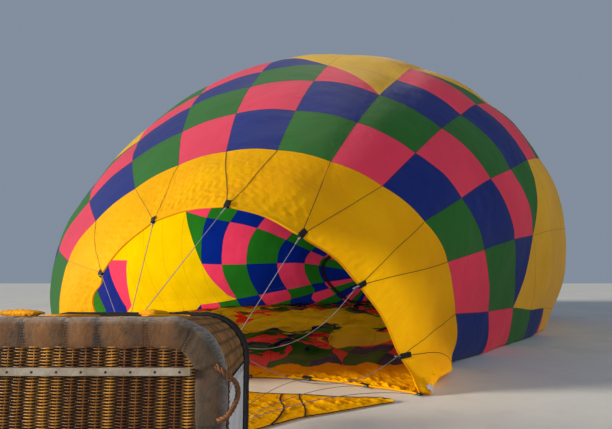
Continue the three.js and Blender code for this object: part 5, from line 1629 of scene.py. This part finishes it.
@dataclass
class Rigging:
    """Oval links at the frame's lugs and the twelve wires from them to the mouth, with their ends."""

    burner: Burner
    attachments: Array
    link_radius: float = 0.025
    link_tube: float = 0.006
    link_straight: float = 0.060
    wire: float = 0.0034
    thimble: float = 0.017
    thimble_tube: float = 0.005
    sag: tuple[float, ...] = (0, 0, 0, 0, 0.210, 0.270, -0.115, -0.115, -0.115, -0.060, -0.060, -0.040)

    def link(self, name: str, su: int, sv: int, targets: Array) -> tuple[Array, Array, Array]:
        """Oval link through a lug's eye, with its screw sleeve, that points at the middle of its wires' ends.

        Args:
            name: Corner that it hangs on.
            su: Side of the frame along u, -1 or 1.
            sv: Side of the frame along v, -1 or 1.
            targets: Ends of its three wires.

        Returns:
            Centre of the link's far bend, the direction of the pull and the direction across the link.
        """
        burner = self.burner
        local = np.array([su * burner.half_u, sv * burner.half_v])
        away = unit(local)
        eye = burner.at(local[0] + away[0] * 0.014, 0.042, local[1] + away[1] * 0.014)
        outward = burner.at(away[0], 0.0, away[1]) - burner.at(0.0, 0.0, 0.0)
        across = unit(np.cross(NORTH, outward))
        pull = targets.mean(0) - eye
        pull = unit(pull - across * (pull @ across))
        if eye[2] < 0.120:
            pull = unit(np.array([pull[0], pull[1], max(pull[2], 0.02)]))
        near = eye + pull * (self.link_radius + 0.0042)
        far = near + pull * self.link_straight
        bend = self.link_radius * arc(np.linspace(-math.pi / 2, math.pi / 2, 17), pull, across)
        side = np.cross(pull, across)
        along = self.link_straight * np.linspace(0.22, 0.78, 12)[:, None]
        nut = near + across * self.link_radius + pull * along
        ribbed = self.link_tube + 0.0026 + 0.0006 * np.where(np.arange(12) % 2, 1, -1)
        parts = [rods(np.concatenate([far + bend, near - bend]), side, self.link_tube, 10, closed=True),
                 rods(nut, side, ribbed, 12)]
        piece(f"oval_link_{name}", parts, burner.finishes.steel,
              stands_for=[f"corner_link_{name}"])
        return far, pull, across

    def strand(self, number: int, start: Array, leave: Array, target: Array) -> None:
        """One flying wire: a smooth line through seven points, sagging by 4 s (1 - s), with a thimble."""
        run = unit(target - start)
        eye = target - run * (self.thimble + self.thimble_tube + 0.004)
        end = eye - run * self.thimble
        first = start + leave * 0.030
        s = np.linspace(0, 1, 6)[:, None]
        line = first + (end - first) * s
        sagged = line[:, 2] - self.sag[number - 1] * 4 * s[:, 0] * (1 - s[:, 0])
        line[:, 2] = np.maximum(sagged, self.wire + 0.018)
        path = catmull(np.concatenate([start[None], line]), 14)
        level = unit(np.cross(UP, run))
        eyelet = eye + self.thimble * arc(full_turn(24), run, level)
        ferrule = end - run * np.linspace(0.004, 0.052, 7)[:, None]
        swage = start + (path[8] - start) * np.linspace(0, 1, 7)[:, None]
        aside = np.array([0.0, 0.1, 1.0])
        parts = [rods(path, aside, self.wire, 8),
                 rods(eyelet, np.cross(run, level), self.thimble_tube, 8, closed=True),
                 rods(np.stack([ferrule, swage]), aside, self.wire + 0.0035, 10)]
        piece(f"rigging_wire_{number}", parts, self.burner.finishes.cable,
              stands_for=[f"flying_wire_{number}"])

    def build(self) -> None:
        """Adds the links and the wires."""
        for n, (name, su, sv) in enumerate(CORNERS):
            targets = self.burner.site.move(self.attachments[3 * n:3 * n + 3])
            far, pull, across = self.link(name, su, sv, targets)
            rank = ((targets - far) @ across).argsort().argsort() - 1
            for order, target in enumerate(targets):
                angle = 0.9 * rank[order]
                leave = pull * math.cos(angle) + across * math.sin(angle)
                start = far + leave * (self.link_radius + self.link_tube + self.wire + 0.0006)
                self.strand(3 * n + order + 1, start, leave, target)


@dataclass
class Studio:
    """Pale floor, soft light and the camera at the photograph's viewing angle."""

    site: Site
    lens: float = 27.63
    eye: tuple[float, float, float] = (0.0, 0.0, 1.369)
    pitch: float = math.radians(7.4)
    reach: float = 70.0

    def camera(self) -> None:
        """Adds the camera."""
        data = bpy.data.cameras.new("camera")
        data.lens = self.lens
        data.sensor_width = 36.0
        data.clip_end = 200.0
        made = add_object("camera", data)
        made.location = self.site.move(self.eye)
        made.rotation_euler = (math.pi / 2 + self.pitch, 0.0, 0.0)
        bpy.context.scene.camera = made

    @staticmethod
    def lamp(name: str, kind: str, heading: tuple, power: float, colour: Colour,
             place: tuple = (0.0, 0.0, 0.0)) -> bpy.types.Light:
        """Adds a lamp that shines along a heading."""
        data = bpy.data.lights.new(name, kind)
        data.energy = power
        data.color = colour
        made = add_object(name, data)
        made.location = place
        made.rotation_euler = Vector(heading).to_track_quat("-Z", "Y").to_euler()
        return data

    def stage(self) -> None:
        """Adds the floor, the sky light, a low warm sun and a soft fill."""
        finish = Finish("studio_floor", paint(206, 206, 202), paint(198, 198, 196), Grain.SMOOTH,
                        roughness=0.9, patch=0.2, fine=3.0, depth=0.0005)
        mesh = bpy.data.meshes.new("floor")
        corners = [(self.reach * x, self.reach * y, 0) for x, y in ((-1, -1), (1, -1), (1, 1), (-1, 1))]
        mesh.from_pydata(corners, [], [(0, 1, 2, 3)])
        mesh.materials.append(finish.material())
        add_object("floor", mesh)
        world = bpy.data.worlds.new("sky")
        world.use_nodes = True
        sky = world.node_tree.nodes["Background"].inputs
        sky["Color"].default_value = (0.66, 0.80, 1.0, 1.0)
        sky["Strength"].default_value = 0.34
        bpy.context.scene.world = world
        sun = self.lamp("key", "SUN", (0.945, 0.235, -0.24), 5.6, (1.0, 0.90, 0.74))
        sun.angle = math.radians(12.0)
        fill = self.lamp("fill", "AREA", (-10.0, 22.0, -12.0), 1600.0, (0.90, 0.95, 1.0), (10.0, -26.0, 14.0))
        fill.size = 16.0
        bpy.context.scene.view_settings.view_transform = "Standard"


def main() -> None:
    """Builds every sub-assembly in order."""
    logging.basicConfig(level=logging.INFO, format="%(message)s")
    site = Site.found()
    studio = Studio(site)
    studio.camera()
    finishes = make_finishes()
    envelope = Envelope(site, finishes)
    burner = Burner(site, finishes)
    parts = (envelope, Scoop(site, finishes), Basket(site, finishes), Tanks(site, finishes), burner,
             Rigging(burner, envelope.attachments))
    for part in parts:
        part.build()
    studio.stage()


if __name__ == "__main__":
    main()
